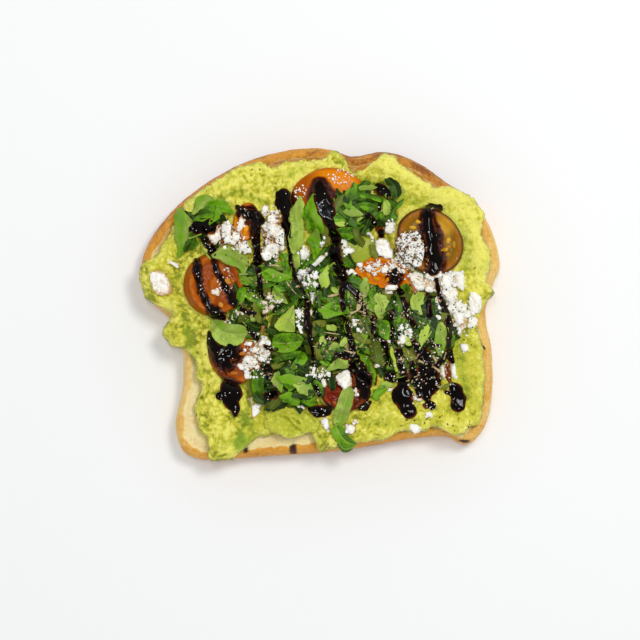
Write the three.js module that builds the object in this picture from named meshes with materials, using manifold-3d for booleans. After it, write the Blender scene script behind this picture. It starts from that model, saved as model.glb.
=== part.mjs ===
// Avocado toast: one slice of sandwich bread under a thick layer of mashed avocado, topped with
// cherry tomato halves, crumbled feta and torn basil. Millimetres, +Z up, resting on z = 0.

import * as THREE from 'three';
import { LoftGeometry } from 'three/addons/geometries/LoftGeometry.js';
import { mergeVertices } from 'three/addons/utils/BufferGeometryUtils.js';
import Module from 'manifold-3d';

const wasm = await Module();
wasm.setup();

// ------------------------------------------------------------------ driving dimensions

const breadThickness = 14;
const breadSteps = 64; // points round the slice
const crustShoulder = 3.4; // how far the rounded upper crust reaches in from the edge
const crustFoot = 1.8; // how far the lower crust tucks under
const crumbUnevenness = 0.1;

const gap = 0.3; // left between any two pieces that touch
const spreadThickness = 4.6;
const spreadLumps = 0.75; // height of the mash's lumps above and below its mean
const spreadMargin = 1.6; // usual distance from the edge of the slice to the edge of the mash
const spreadTop = breadThickness + gap + spreadThickness;
const shoulderSag = 2.6; // how far the mash sinks at the slice's very edge
const overhangSag = 3.4; // and the most that it sinks where it hangs past the edge

const tomatoSteps = 16;
const heapSteps = 14;
const leafThickness = 0.7;
const leafLift = 0.55; // clear height of a leaf over what it lies on
const leafStations = 5;
const leafFeel = 1.6; // how far round each point a leaf feels for what holds it up

// The slice's edge, anticlockwise from its right ear, as the loaf's mushroom shape has it.
const sliceEdge = [
  [61.6, 14], [57.8, 27.5], [53, 35.5], [43.3, 41.8], [34, 48.4], [22.5, 52.2], // right shoulder
  [11, 50.6], [3.5, 53.2], [-9, 53.2], [-25, 48.8], [-42, 39.4], [-52.5, 29.5], // crown
  [-60.3, 16.5], [-59, 3.5], [-51.5, -4.5], // left ear and neck
  [-46.8, -16], [-47, -30], [-49.3, -41], [-46.5, -50], [-40, -52.8], // left side and foot
  [-22, -51.9], [8, -49.6], [30, -45.8], [43, -44.8], // front
  [50, -47.6], [56, -42.5], [59, -30], [58.6, -16], [56.6, -2], [59.5, 7], // right foot and neck
];

// Stretches of the edge, by bearing in degrees, where the mash stops short of the crust or
// laps over it: inset is its distance from the slice's edge, and a negative one overhangs.
const spreadStretches = [
  { from: 2, to: 5, inset: -0.6 }, // point by the right neck
  { from: 8, to: 25, inset: 5.2 }, // bare right ear
  { from: 29, to: 42, inset: 0.3 },
  { from: 45, to: 60, inset: 4.2 }, // bare right shoulder
  { from: 64.5, to: 67.5, inset: -0.6 }, // peak on the crown
  { from: 70, to: 77, inset: 5.4 }, // bare crown
  { from: 82, to: 85, inset: 0.3 },
  { from: 88, to: 110, inset: 4.7 }, // bare crown
  { from: 147, to: 164, inset: 5 }, // bare left ear
  { from: 168, to: 179, inset: -0.6 },
  { from: 188, to: 196, inset: -3.6 }, // lobe over the left neck
  { from: 204, to: 231, inset: 8 }, // bare lower left
  { from: 236, to: 241, inset: 0.3 },
  { from: 247, to: 267, inset: 7.4 }, // bare front
  { from: 270, to: 273, inset: 0.4 },
];
const stretchBlend = 4; // degrees over which one stretch runs into the next

// Cherry tomatoes cut in half and pressed into the mash. at is the middle, half the two half
// widths, turn the angle of the first, face the height of the cut face, lean how far the face
// sits off the middle of the belly, tip its fall per millimetre along x and y.
const tomatoes = [
  { name: 'tomato_half_top', at: [3.2, 36.6], half: [13, 9.7], turn: 4, face: 22.6, square: 1.8,
    crown: 1.6, colour: 0xe08a1c },
  { name: 'tomato_half_right', at: [37.3, 21.4], half: [12.3, 10.4], turn: -45, face: 23,
    colour: 0x9a5a14 },
  { name: 'tomato_half_left', at: [-36.2, 6.8], half: [9.7, 10.6], face: 23.4, lean: [1.8, 0.2],
    tip: [0.12, 0], colour: 0xb4530c },
  { name: 'tomato_half_lower_left', at: [-29.6, -16.2], half: [8, 11], turn: 18, face: 22.8,
    lean: [1, 0], tip: [0.08, 0], colour: 0x8a3a10 },
  { name: 'tomato_half_front', at: [8.8, -29.3], half: [8.6, 6.6], face: 21.8, colour: 0xa63a12 },
  { name: 'tomato_half_middle', at: [21.6, 10.6], half: [10.6, 5.4], turn: -14, face: 21.6,
    colour: 0xd9741a },
  { name: 'tomato_green_piece', at: [13.4, 18.6], half: [6, 4.6], turn: 20, face: 21.8,
    crown: 0.7, colour: 0x9aa51c },
  { name: 'tomato_piece_upper_left', at: [-24.6, 28], half: [4.4, 6.6], turn: -8, face: 21.4,
    colour: 0xc8641c },
];
const tomatoBottom = breadThickness + gap + 0.9; // some mash is left under each belly
const wallRise = 0.5; // the wall of a cut tomato stands above its wet middle

// Uneven heaps on the mash: torn basil first, then feta over it. top is the height of the
// middle, ragged how far the outline wanders.
const basilHeaps = [
  { name: 'basil_heap_upper', at: [9.5, 29], half: [10.5, 6.4], turn: -8, top: 22.6 },
  { name: 'basil_heap_left', at: [-17.5, 5], half: [9.6, 8.2], turn: -10, top: 22.2 },
  { name: 'basil_heap_middle', at: [4.5, -4.5], half: [13.5, 15.5], turn: 20, top: 22.8 },
  { name: 'basil_heap_right', at: [30, -8], half: [14.5, 11], turn: -20, top: 22.6 },
  { name: 'basil_heap_front', at: [-11.6, -26.6], half: [11, 7], turn: -4, top: 22.8 },
];
const fetaHeaps = [
  { name: 'feta_heap_upper_left', at: [-30.5, 23.2], half: [8.2, 5], turn: -14, top: 23.2 },
  { name: 'feta_heap_upper_middle', at: [-15.8, 23.8], half: [4.3, 9.6], turn: -3, top: 23 },
  { name: 'feta_heap_center_right', at: [30, 19], half: [5.2, 7.2], turn: 30, top: 25.4 },
  { name: 'feta_heap_right', at: [39.5, 7.4], half: [10, 3.9], turn: 5, top: 23.4 },
  { name: 'feta_heap_right_edge', at: [46.4, -3.4], half: [4.2, 7.2], turn: 14, top: 22.8 },
  { name: 'feta_heap_lower_left', at: [-21.6, -17.6], half: [4.2, 8.4], turn: -31, top: 24.4 },
];
const heapRaggedness = 0.09;

// Single lumps of feta, near enough blocks with their corners broken off.
const fetaLumps = [
  { name: 'feta_lump_left', at: [-53.4, 7.3], half: [3.1, 4.3], turn: 6, top: 22 },
  { name: 'feta_lump_middle', at: [21.6, 19], half: [3.1, 4.1], turn: 8, top: 23.6 },
  { name: 'feta_lump_front', at: [7.9, -24.7], half: [3.6, 2.5], turn: -4, top: 24.6 },
  { name: 'feta_lump_right', at: [51.6, 0.4], half: [2.5, 4.2], turn: 8, top: 22.4 },
];
const lumpSquareness = 3.2;

// A flat piece of avocado that lies half on the mash and half on the bare bread in front.
const slab = { name: 'avocado_slab_front', at: [-10, -39.4], half: [9.4, 5.4], turn: -6,
  low: 14.5, top: 21, square: 2.6 };

// Whole leaves and the widest ribbons. path runs along the midrib from stalk to tip, width is
// the widest place, fold the angle in degrees by which each half rises from the midrib.
const leaves = [
  { name: 'basil_leaf_left', path: [[-44.5, 31], [-46.6, 25], [-45, 17.6]], width: 7.4, fold: 14 },
  { name: 'basil_leaf_upper_left', path: [[-41.5, 34], [-36, 33.4], [-28.6, 33.2]], width: 6.6,
    fold: 12 },
  { name: 'basil_leaf_middle_left', path: [[-35.4, 18.2], [-29, 17.2], [-22.6, 12]], width: 5.6,
    fold: 8 },
  { name: 'basil_leaf_center_pale', path: [[-7.4, 34.6], [-7.8, 27], [-6.8, 20]], width: 5,
    fold: 9 },
  { name: 'basil_leaf_center_bright', path: [[-3.6, 34.6], [-1.6, 27], [-1.4, 16.4]], width: 4.8,
    fold: 12 },
  { name: 'basil_leaf_over_tomato', path: [[-36.4, -4.6], [-31, -8.6], [-25, -12]], width: 8.8,
    fold: 8 },
  { name: 'basil_leaf_pale_upper', path: [[-7.4, -1.4], [-11, -5], [-16, -9.8]], width: 6.6,
    fold: 10 },
  { name: 'basil_leaf_pale_lower', path: [[-16, -13.6], [-11, -13], [-5.6, -11.6]], width: 5.4,
    fold: 6 },
  { name: 'basil_leaf_upper_right', path: [[23.4, 43], [25.2, 39], [25, 35]], width: 5, fold: 10 },
  { name: 'basil_leaf_middle', path: [[0.4, 1.4], [3.6, -2], [7.2, -4.8]], width: 6, fold: 5 },
  { name: 'basil_ribbon_front', path: [[8.4, -27.4], [5.4, -37], [6.4, -44], [10, -48.4]],
    width: 4.4, fold: 10 },
];

// ------------------------------------------------------------------ outlines

/** Uneven ripple between -1 and 1 that repeats once round the circle. */
function ripple(angle, seed) {
  return (Math.sin(3 * angle + seed) + 0.7 * Math.sin(5 * angle + 2.3 * seed)
    + 0.4 * Math.sin(8 * angle + 0.9 * seed)) / 2.1;
}

/** Soft lumps between about -1 and 1 over the plane. */
function lumps(x, y) {
  return (Math.sin(0.31 * x + 0.17 * y + 1.3) + Math.sin(0.44 * y - 0.21 * x + 0.4)
    + 0.6 * Math.sin(0.83 * x + 0.29 * y) + 0.5 * Math.sin(0.71 * y - 0.63 * x + 2)) / 3.1;
}

/** Closed ring of points round a footprint, anticlockwise, grown outwards by extra. */
function footprint({ at, half, turn = 0, square = 2 }, steps, ragged = 0, extra = 0) {
  const tilt = THREE.MathUtils.degToRad(turn);
  return Array.from({ length: steps }, (_, i) => {
    const angle = (2 * Math.PI * i) / steps;
    const wander = 1 + ragged * ripple(angle, at[0] + at[1]);
    const c = Math.cos(angle);
    const s = Math.sin(angle);
    const x = Math.sign(c) * Math.abs(c) ** (2 / square) * (half[0] * wander + extra);
    const y = Math.sign(s) * Math.abs(s) ** (2 / square) * (half[1] * wander + extra);
    return new THREE.Vector2(x, y).rotateAround(new THREE.Vector2(), tilt)
      .add(new THREE.Vector2(...at));
  });
}

/** Evenly spaced points on the slice's edge, each with its outward normal. */
function sliceRing() {
  const corners = sliceEdge.map(([x, y]) => new THREE.Vector3(x, y, 0));
  const curve = new THREE.CatmullRomCurve3(corners, true, 'centripetal');
  return Array.from({ length: breadSteps }, (_, i) => {
    const point = curve.getPointAt(i / breadSteps);
    const tangent = curve.getTangentAt(i / breadSteps);
    return { point: new THREE.Vector2(point.x, point.y),
      normal: new THREE.Vector2(tangent.y, -tangent.x).normalize() };
  });
}

const edgeRing = sliceRing();

/** Distance between the slice's edge and the edge of the mash at a bearing in degrees. */
function mashInset(bearing) {
  return spreadStretches.reduce((inset, stretch) => {
    const inside = Math.min(bearing - stretch.from, stretch.to - bearing);
    const share = THREE.MathUtils.smoothstep(inside, -stretchBlend, stretchBlend / 2);
    return inset + share * (stretch.inset - spreadMargin);
  }, spreadMargin);
}

// ------------------------------------------------------------------ bodies

/** Closed body through a stack of rings: each end ring is drawn together to its own middle. */
function closedLoft(rings) {
  const pole = (ring) => {
    const middle = ring.reduce((sum, point) => sum.add(point), new THREE.Vector3());
    return ring.map(() => middle.clone().divideScalar(ring.length));
  };
  return new LoftGeometry([pole(rings[0]), ...rings, pole(rings.at(-1))]);
}

/**
 * Closed body over a ring of points. Each level says what share of the ring it reaches to from
 * the middle and how high it lies; height may be a number or a function of x and y.
 */
function ringBody(ring, middle, levels) {
  const sections = levels.map(({ reach, height, shift = [0, 0] }) => ring.map((point) => {
    const x = middle[0] + (point.x - middle[0]) * reach + shift[0];
    const y = middle[1] + (point.y - middle[1]) * reach + shift[1];
    return new THREE.Vector3(x, y, typeof height === 'function' ? height(x, y) : height);
  }));
  return closedLoft(sections);
}

/** The slice: flat underneath, bulging crust, rounded shoulder and an open crumb face. */
function breadBody(extra) {
  const crumb = (x, y) => breadThickness + extra + crumbUnevenness * lumps(2 * x, 2 * y);
  const wall = [ // inset from the edge, height
    [crustFoot, -extra], [0.45, 1.5 - extra], [0, 5.2], [0.35, 9.2],
    [0.36 * crustShoulder, 12.2 + extra / 2], [0.68 * crustShoulder, 13.5 + extra],
    [crustShoulder, breadThickness + extra],
  ];
  const sections = wall.map(([inset, height]) => edgeRing.map(({ point, normal }) => {
    const reach = extra - inset;
    return new THREE.Vector3(point.x + normal.x * reach, point.y + normal.y * reach, height);
  }));
  const shoulder = sections.at(-1);
  for (const reach of [0.62, 0.22]) {
    sections.push(shoulder.map(({ x, y }) => new THREE.Vector3(reach * x, reach * y,
      crumb(reach * x, reach * y))));
  }
  return closedLoft(sections);
}

/** How far the mash has sunk where it lies over the rounded crust or hangs past it. */
function sag(inset) {
  const past = Math.max(0, 1 - inset / crustShoulder);
  return Math.min(shoulderSag * past ** 2, overhangSag);
}

/** The mash: lies on the crumb, follows the crust where it reaches it and is lumpy on top. */
function spreadBody(extra) {
  const base = breadThickness + gap - extra;
  const mound = (x, y) => spreadThickness + 2 * extra + spreadLumps * lumps(x, y);
  const levels = [ // share of the way out to the rim, share of the sag, height over the crumb
    [0.9, 0, () => 0.2], [0.98, 0.5, () => 0.4],
    [1, 1, () => 0.3 * spreadThickness],
    [0.99, 1, () => 0.66 * spreadThickness + 2 * extra],
    [0.955, 0.5, (x, y) => mound(x, y) - 0.5],
    [0.86, 0, mound], [0.73, 0, mound], [0.58, 0, mound], [0.42, 0, mound], [0.24, 0, mound],
  ];
  return closedLoft(levels.map(([reach, share, rise]) => edgeRing.map(({ point }) => {
    const bearing = (THREE.MathUtils.radToDeg(point.angle()) + 360) % 360;
    const rim = point.length() - mashInset(bearing) + extra;
    const { x, y } = point.clone().setLength(rim * reach);
    return new THREE.Vector3(x, y, base + rise(x, y) - share * sag(point.length() - rim * reach));
  })));
}

/** A tomato half: round belly below, cut face with a raised wall above, or skin side up. */
function tomatoBody(spec, extra) {
  const { at, face, lean = [0, 0], tip = [0, 0], crown = 0 } = spec;
  const ring = footprint(spec, tomatoSteps, 0, extra);
  const level = (rise) => (x, y) => face + extra + rise - tip[0] * (x - at[0]) - tip[1] * (y - at[1]);
  const depth = face - tomatoBottom;
  const upper = crown > 0
    ? [{ reach: 0.84, height: level(0.45 * crown) }, { reach: 0.45, height: level(crown) }]
    : [{ reach: 0.9, height: level(wallRise), shift: lean },
      { reach: 0.76, height: level(0), shift: lean }];
  return ringBody(ring, at, [
    { reach: 0.6, height: tomatoBottom - extra },
    { reach: 1, height: face - 0.4 * depth },
    { reach: 0.97, height: level(-0.4), shift: crown > 0 ? [0, 0] : lean },
    ...upper,
  ]);
}

/** A heap of torn leaves or crumbs. It starts inside the mash, which cuts it off later. */
function heapBody(spec, extra) {
  const ring = footprint(spec, heapSteps, heapRaggedness, extra);
  const rise = spec.top - spreadTop;
  const pile = (share) => (x, y) => spreadTop + extra + rise * share + 0.5 * lumps(2.2 * x, 2.2 * y);
  return ringBody(ring, spec.at, [
    { reach: 0.9, height: spreadTop - 2.4 },
    { reach: 1, height: spreadTop - 1 },
    { reach: 0.95, height: pile(0.36) },
    { reach: 0.74, height: pile(0.78) },
    { reach: 0.36, height: pile(1) },
  ]);
}

/** A broken block with a flat top and worn edges. */
function blockBody({ low = spreadTop - 2.4, ...spec }, extra) {
  const ring = footprint({ square: lumpSquareness, ...spec }, tomatoSteps, heapRaggedness, extra);
  const top = (drop) => (x, y) => spec.top + extra - drop + 0.25 * lumps(2.6 * x, 2.6 * y);
  return ringBody(ring, spec.at, [
    { reach: 0.94, height: low - extra },
    { reach: 1, height: low + 0.3 * (spec.top - low) },
    { reach: 0.97, height: top(0.9) },
    { reach: 0.84, height: top(0.1) },
  ]);
}

/** Height of the highest piece laid so far within reach of a point. */
function supportHeight(x, y, laid, reach) {
  const ray = new THREE.Raycaster();
  const down = new THREE.Vector3(0, 0, -1);
  const start = 2 * spreadTop;
  let highest = breadThickness;
  for (const [dx, dy] of [[0, 0], [1, 0], [-1, 0], [0, 1], [0, -1]]) {
    ray.set(new THREE.Vector3(x + reach * dx, y + reach * dy, start), down);
    const [hit] = ray.intersectObjects(laid, false);
    if (hit) highest = Math.max(highest, hit.point.z);
  }
  return highest;
}

/** A leaf: cross sections along its midrib, each a thin folded strip resting on what is below. */
function leafBody({ path, width, fold }, extra, laid) {
  const midrib = new THREE.SplineCurve(path.map((point) => new THREE.Vector2(...point)));
  const rise = Math.tan(THREE.MathUtils.degToRad(fold));
  const sections = [];
  for (let station = 0; station <= leafStations; station += 1) {
    const along = station / leafStations;
    const point = midrib.getPoint(along);
    const tangent = midrib.getTangent(along);
    const side = new THREE.Vector2(-tangent.y, tangent.x);
    const halfWidth = (width / 2) * Math.sqrt(0.06 + Math.sin(Math.PI * along ** 0.85) * 0.94) + extra;
    const across = [1, 0, -1].map((share) => {
      const spot = point.clone().addScaledVector(side, share * halfWidth);
      return { spot, lift: Math.abs(share) * halfWidth * rise };
    });
    const support = Math.max(...across.map(({ spot, lift }) =>
      supportHeight(spot.x, spot.y, laid, leafFeel) - lift));
    const height = support + leafLift;
    const upper = across.map(({ spot, lift }) =>
      new THREE.Vector3(spot.x, spot.y, height + lift + leafThickness + extra));
    const under = across.map(({ spot, lift }) =>
      new THREE.Vector3(spot.x, spot.y, height + lift - extra)).reverse();
    sections.push([...upper, ...under]);
  }
  return closedLoft(sections);
}

// ------------------------------------------------------------------ laying the pieces

/** Solid with outward faces from a closed geometry. */
function solidOf(geometry) {
  const bare = new THREE.BufferGeometry().copy(geometry);
  bare.deleteAttribute('normal');
  bare.deleteAttribute('uv');
  const merged = mergeVertices(bare);
  const corners = Array.from(merged.index.array);
  const triangles = [];
  for (let i = 0; i < corners.length; i += 3) {
    const [a, b, c] = corners.slice(i, i + 3);
    if (a !== b && b !== c && c !== a) triangles.push(a, b, c);
  }
  return new wasm.Manifold(new wasm.Mesh({
    numProp: 3,
    vertProperties: new Float32Array(merged.attributes.position.array),
    triVerts: new Uint32Array(triangles),
  }));
}

/** Geometry of a solid, ready for a mesh. */
function geometryOf(solid) {
  const { vertProperties, triVerts } = solid.getMesh();
  const geometry = new THREE.BufferGeometry();
  geometry.setAttribute('position', new THREE.BufferAttribute(vertProperties, 3));
  geometry.setIndex(new THREE.BufferAttribute(triVerts, 1));
  geometry.computeVertexNormals();
  return geometry;
}

const toast = new THREE.Group();
const cutters = []; // every laid piece, grown by the gap

/** Lays one piece: whatever was laid before it is cut out of it, with the gap all round. */
function lay(name, makeBody, colour, roughness) {
  const whole = cutters.reduce((solid, cutter) => solid.subtract(cutter), solidOf(makeBody(0)));
  const [largest] = whole.decompose().sort((a, b) => b.volume() - a.volume());
  const material = new THREE.MeshStandardMaterial({ color: colour, roughness, metalness: 0 });
  const mesh = new THREE.Mesh(geometryOf(largest), material);
  mesh.name = name;
  cutters.push(solidOf(makeBody(gap)));
  toast.add(mesh);
}

lay('bread_slice', breadBody, 0xd9a25c, 0.85);
for (const spec of tomatoes) lay(spec.name, (extra) => tomatoBody(spec, extra), spec.colour, 0.25);
lay('avocado_spread', spreadBody, 0xb9c23a, 0.5);
lay(slab.name, (extra) => blockBody(slab, extra), 0xb4b83c, 0.5);
for (const spec of basilHeaps) lay(spec.name, (extra) => heapBody(spec, extra), 0x3f7d1c, 0.5);
for (const spec of fetaHeaps) lay(spec.name, (extra) => heapBody(spec, extra), 0xf1ece0, 0.9);
for (const spec of fetaLumps) lay(spec.name, (extra) => blockBody(spec, extra), 0xf4f0e6, 0.9);
for (const spec of leaves) {
  const laid = [...toast.children];
  lay(spec.name, (extra) => leafBody(spec, extra, laid), 0x5a9a2c, 0.45);
}

// The origin is under the middle of the whole toast, on the surface that it rests on.
const extent = new THREE.Box3().setFromObject(toast);
const middle = extent.getCenter(new THREE.Vector3());
toast.position.set(-middle.x, -middle.y, -extent.min.z);

const part = new THREE.Group();
part.add(toast);

export default part;
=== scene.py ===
"""Avocado toast with tomato halves, feta, basil and dark glaze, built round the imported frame.

Shapes are worked out in plan millimetres: X to the right and Y towards the crown as the slice is
seen from above, Z up from the surface that it rests on. to_frame takes them to the frame.
"""

import math

import bpy
import numpy as np
from bpy.props import FloatProperty, FloatVectorProperty, IntProperty, PointerProperty
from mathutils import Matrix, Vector


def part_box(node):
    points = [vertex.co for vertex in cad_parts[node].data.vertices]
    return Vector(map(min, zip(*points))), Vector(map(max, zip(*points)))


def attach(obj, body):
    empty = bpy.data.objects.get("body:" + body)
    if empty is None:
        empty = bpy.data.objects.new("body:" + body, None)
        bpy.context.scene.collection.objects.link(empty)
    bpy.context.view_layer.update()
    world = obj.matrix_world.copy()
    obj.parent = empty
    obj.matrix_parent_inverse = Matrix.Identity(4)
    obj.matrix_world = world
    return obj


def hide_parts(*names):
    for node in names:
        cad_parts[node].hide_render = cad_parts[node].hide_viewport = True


bl_info = {
    "name": "Avocado Toast",
    "version": (1, 0, 0),
    "blender": (4, 5, 0),
    "location": "3D View > Sidebar > Toast",
    "description": "Builds a slice of toast with mashed avocado, tomato, feta, basil and glaze",
    "category": "Object",
}

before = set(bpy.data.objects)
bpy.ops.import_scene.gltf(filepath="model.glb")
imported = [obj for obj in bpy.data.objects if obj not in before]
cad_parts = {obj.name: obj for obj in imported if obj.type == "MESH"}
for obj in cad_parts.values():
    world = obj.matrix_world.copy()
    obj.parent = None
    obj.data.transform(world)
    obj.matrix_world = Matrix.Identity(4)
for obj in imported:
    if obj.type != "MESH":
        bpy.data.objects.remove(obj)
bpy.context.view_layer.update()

MM = 0.001

# ---------------------------------------------------------------- sizes shared with the CAD part

BREAD_TOP = 14.0
MASH_TOP = 18.9
CRUST_SHOULDER = 3.4
EDGE_DROP = 2.6
SLICE_EDGE = [
    (61.6, 14), (57.8, 27.5), (53, 35.5), (43.3, 41.8), (34, 48.4), (22.5, 52.2),
    (11, 50.6), (3.5, 53.2), (-9, 53.2), (-25, 48.8), (-42, 39.4), (-52.5, 29.5),
    (-60.3, 16.5), (-59, 3.5), (-51.5, -4.5),
    (-46.8, -16), (-47, -30), (-49.3, -41), (-46.5, -50), (-40, -52.8),
    (-22, -51.9), (8, -49.6), (30, -45.8), (43, -44.8),
    (50, -47.6), (56, -42.5), (59, -30), (58.6, -16), (56.6, -2), (59.5, 7),
]
EDGE_POINTS = 1440
# Stretches of the edge where the mash stops short of the crust or laps over it: from and to
# which bearing, and how far in from the edge it ends.
MASH_MARGIN = 1.6
MASH_STRETCHES = [
    (2, 5, -0.6), (8, 25, 3.7), (29, 42, 0.3), (45, 60, 4.2), (63.5, 67.5, 0.5),
    (70, 77, 5.4), (81.5, 85, 0.8), (88, 110, 4.7), (147, 164, 5), (168, 179, -0.6),
    (188, 196, -3.6), (204, 213, 5.4), (214, 231, 9.4), (236, 241, 0.3), (243.5, 267, 8.2),
    (270, 273, 0.4),
    (284, 296, 2.2), (300, 309, 3.4), (313, 322, 5), (326, 356, 3.5),
]
STRETCH_BLEND = 4
# The net of heights: how far it reaches from the middle, and its step.
RELIEF_REACH = 66
RELIEF_STEP = 0.25


# ---------------------------------------------------------------- numbers over the plane


def tint(red, green, blue):
    """Linear colour of a paint given in the usual 0 to 255 steps."""
    steps = np.array([red, green, blue]) / 255
    linear = np.where(steps <= 0.04045, steps / 12.92, ((steps + 0.055) / 1.055) ** 2.4)
    return tuple(float(value) for value in linear)


def smoothstep(low, high, values):
    """0 below low, 1 above high, and smooth between them."""
    share = np.clip((np.asarray(values, float) - low) / (high - low), 0, 1)
    return share * share * (3 - 2 * share)


def lattice(cells, seed):
    """A number between 0 and 1 for each whole-numbered cell, always the same for a seed."""
    mixed = np.full(cells.shape[:-1], seed * 1442695041 + 12345, np.uint64)
    for axis, factor in zip(range(cells.shape[-1]), (374761393, 668265263, 2147483647)):
        mixed = mixed + cells[..., axis].astype(np.int64).astype(np.uint64) * np.uint64(factor)
        mixed = (mixed ^ (mixed >> np.uint64(13))) * np.uint64(1274126177)
        mixed = mixed ^ (mixed >> np.uint64(29))
    return (mixed & np.uint64(0xFFFFFF)).astype(float) / 0xFFFFFF


def swell(points, size, seed, octaves=1):
    """Smooth noise between about -1 and 1 at points of two or three coordinates."""
    points = np.asarray(points, float)
    axes = points.shape[-1]
    total, weight = 0.0, 0.0
    for octave in range(octaves):
        spot = points / size * 2**octave + 17.3 * octave
        base = np.floor(spot)
        part = spot - base
        ease = part**3 * (part * (6 * part - 15) + 10)
        value = 0.0
        for corner in np.ndindex(*(2,) * axes):
            offset = np.array(corner)
            cell = base + offset
            away = part - offset
            slope = sum(
                (2 * lattice(cell, seed + 31 * octave + 7 * axis) - 1) * away[..., axis]
                for axis in range(axes)
            )
            share = np.prod(np.where(offset, ease, 1 - ease), axis=-1)
            value = value + slope * share
        total = total + value * 0.5**octave
        weight += 0.5**octave
    return np.clip(2.0 * total / weight, -1, 1)


def nearest_seeds(points, size, seed):
    """Distance to the nearest and second nearest of the seeds strewn one in each cell of size."""
    points = np.asarray(points, float) / size
    axes = points.shape[-1]
    base = np.floor(points)
    first = np.full(points.shape[:-1], 9.0)
    second = first.copy()
    for corner in np.ndindex(*(3,) * axes):
        cell = base + np.array(corner) - 1
        spots = np.stack(
            [cell[..., axis] + lattice(cell, seed + 13 * axis) for axis in range(axes)], -1
        )
        away = np.linalg.norm(spots - points, axis=-1)
        second = np.minimum(second, np.maximum(first, away))
        first = np.minimum(first, away)
    return first, second


def knobs(points, size, seed):
    """Round knobs packed side by side, 1 at the middle of each and 0 in the creases."""
    first, second = nearest_seeds(points, size, seed)
    return np.clip(1 - (first / np.maximum(second, 1e-6)) ** 2, 0, 1)


def smooth_line(points, count, closed=False):
    """count evenly spaced points on the smooth line through points of any dimension."""
    points = np.asarray(points, float)
    if closed:
        corners = np.vstack([points[-1:], points, points[:2]])
    else:
        corners = np.vstack([2 * points[:1] - points[1:2], points, 2 * points[-1:] - points[-2:-1]])
    fine = []
    steps = np.linspace(0, 1, 17)[:-1, None]
    for a, b, c, d in zip(corners, corners[1:], corners[2:], corners[3:]):
        before, here, after = (
            max(np.linalg.norm(q - p), 1e-6) ** 0.5 for p, q in ((a, b), (b, c), (c, d))
        )
        leave = ((b - a) / before - (c - a) / (before + here) + (c - b) / here) * here
        arrive = ((c - b) / here - (d - b) / (here + after) + (d - c) / after) * here
        fine.append(
            (2 * steps**3 - 3 * steps**2 + 1) * b + (steps**3 - 2 * steps**2 + steps) * leave
            + (3 * steps**2 - 2 * steps**3) * c + (steps**3 - steps**2) * arrive
        )
    fine = np.vstack([*fine, corners[-2:-1]])
    lengths = np.concatenate([[0], np.cumsum(np.linalg.norm(np.diff(fine, axis=0), axis=1))])
    stops = np.linspace(0, lengths[-1], count, endpoint=not closed)
    return np.stack([np.interp(stops, lengths, column) for column in fine.T], 1)


def line_length(points):
    """Length in plan of a line of points."""
    return np.linalg.norm(np.diff(np.array(points, float)[:, :2], axis=0), axis=1).sum()


def line_ways(line):
    """Unit steps ahead and to the right at each point of a line in plan."""
    ahead = np.gradient(line, axis=0)
    ahead /= np.linalg.norm(ahead, axis=1, keepdims=True)
    return ahead, np.stack([ahead[:, 1], -ahead[:, 0]], 1)


def directions(count):
    """Unit steps in count directions all round, in plan."""
    angles = np.radians(np.linspace(0, 360, count, endpoint=False))
    return np.stack([np.cos(angles), np.sin(angles)], 1)


def turned(x, y, u, v, angle):
    """The place that lies (u, v), turned by an angle in radians, from (x, y)."""
    c, s = math.cos(angle), math.sin(angle)
    return x + u * c - v * s, y + u * s + v * c


def bearing(x, y):
    """Bearing of each place from the middle of the plan, in degrees."""
    return np.degrees(np.arctan2(y, x)) % 360


def line_distance(x, y, line):
    """Distance from each place to a line of points in plan."""
    best = np.full(np.shape(x), 1e9)
    steps = np.diff(line, axis=0)
    for (ax, ay), (dx, dy), length in zip(line, steps, np.linalg.norm(steps, axis=1)):
        share = np.clip(((x - ax) * dx + (y - ay) * dy) / max(length**2, 1e-12), 0, 1)
        best = np.minimum(best, np.hypot(x - ax - share * dx, y - ay - share * dy))
    return best


def blurred(values, passes, closed=False):
    """A net of values, each averaged with its neighbours some number of times."""
    for _ in range(passes):
        padded = np.pad(np.pad(values, ((1, 1), (0, 0)), mode="edge"), ((0, 0), (1, 1)),
                        mode="wrap" if closed else "edge")
        rows = (padded[:-2] + 2 * padded[1:-1] + padded[2:]) / 4
        values = (rows[:, :-2] + 2 * rows[:, 1:-1] + rows[:, 2:]) / 4
    return values


# ---------------------------------------------------------------- the slice and what lies on it

edge_line = smooth_line(SLICE_EDGE, EDGE_POINTS, closed=True)
slice_low, slice_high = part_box("bread_slice")
PLAN_SHIFT = [(slice_low[axis] + slice_high[axis]) / MM / 2
              - (edge_line[:, axis].min() + edge_line[:, axis].max()) / 2 for axis in (0, 1)]


def to_frame(points):
    """Plan millimetres to metres in the frame."""
    return (np.asarray(points, float) + [*PLAN_SHIFT, 0]) * MM


def edge_reach(bearings):
    """Distance from the middle of the plan to the edge of the slice at bearings in degrees."""
    reach = np.linalg.norm(edge_line, axis=1)
    return np.interp(bearings, bearing(*edge_line.T), reach, period=360)


def mash_inset(bearings):
    """Distance between the edge of the slice and the edge of the mash."""
    bearings = np.asarray(bearings, float) % 360
    inset = np.full(bearings.shape, MASH_MARGIN)
    for start, end, value in MASH_STRETCHES:
        inside = np.minimum(bearings - start, end - bearings)
        share = smoothstep(-STRETCH_BLEND, STRETCH_BLEND / 2, inside)
        inset = inset + share * (value - MASH_MARGIN)
    return inset


def bread_height(x, y):
    """Height of the slice's upper side, which rounds down to its edge."""
    inside = edge_reach(bearing(x, y)) - np.hypot(x, y)
    past = np.clip(1 - inside / CRUST_SHOULDER, 0, 1.25)
    return BREAD_TOP - EDGE_DROP * past**2.4


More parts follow.
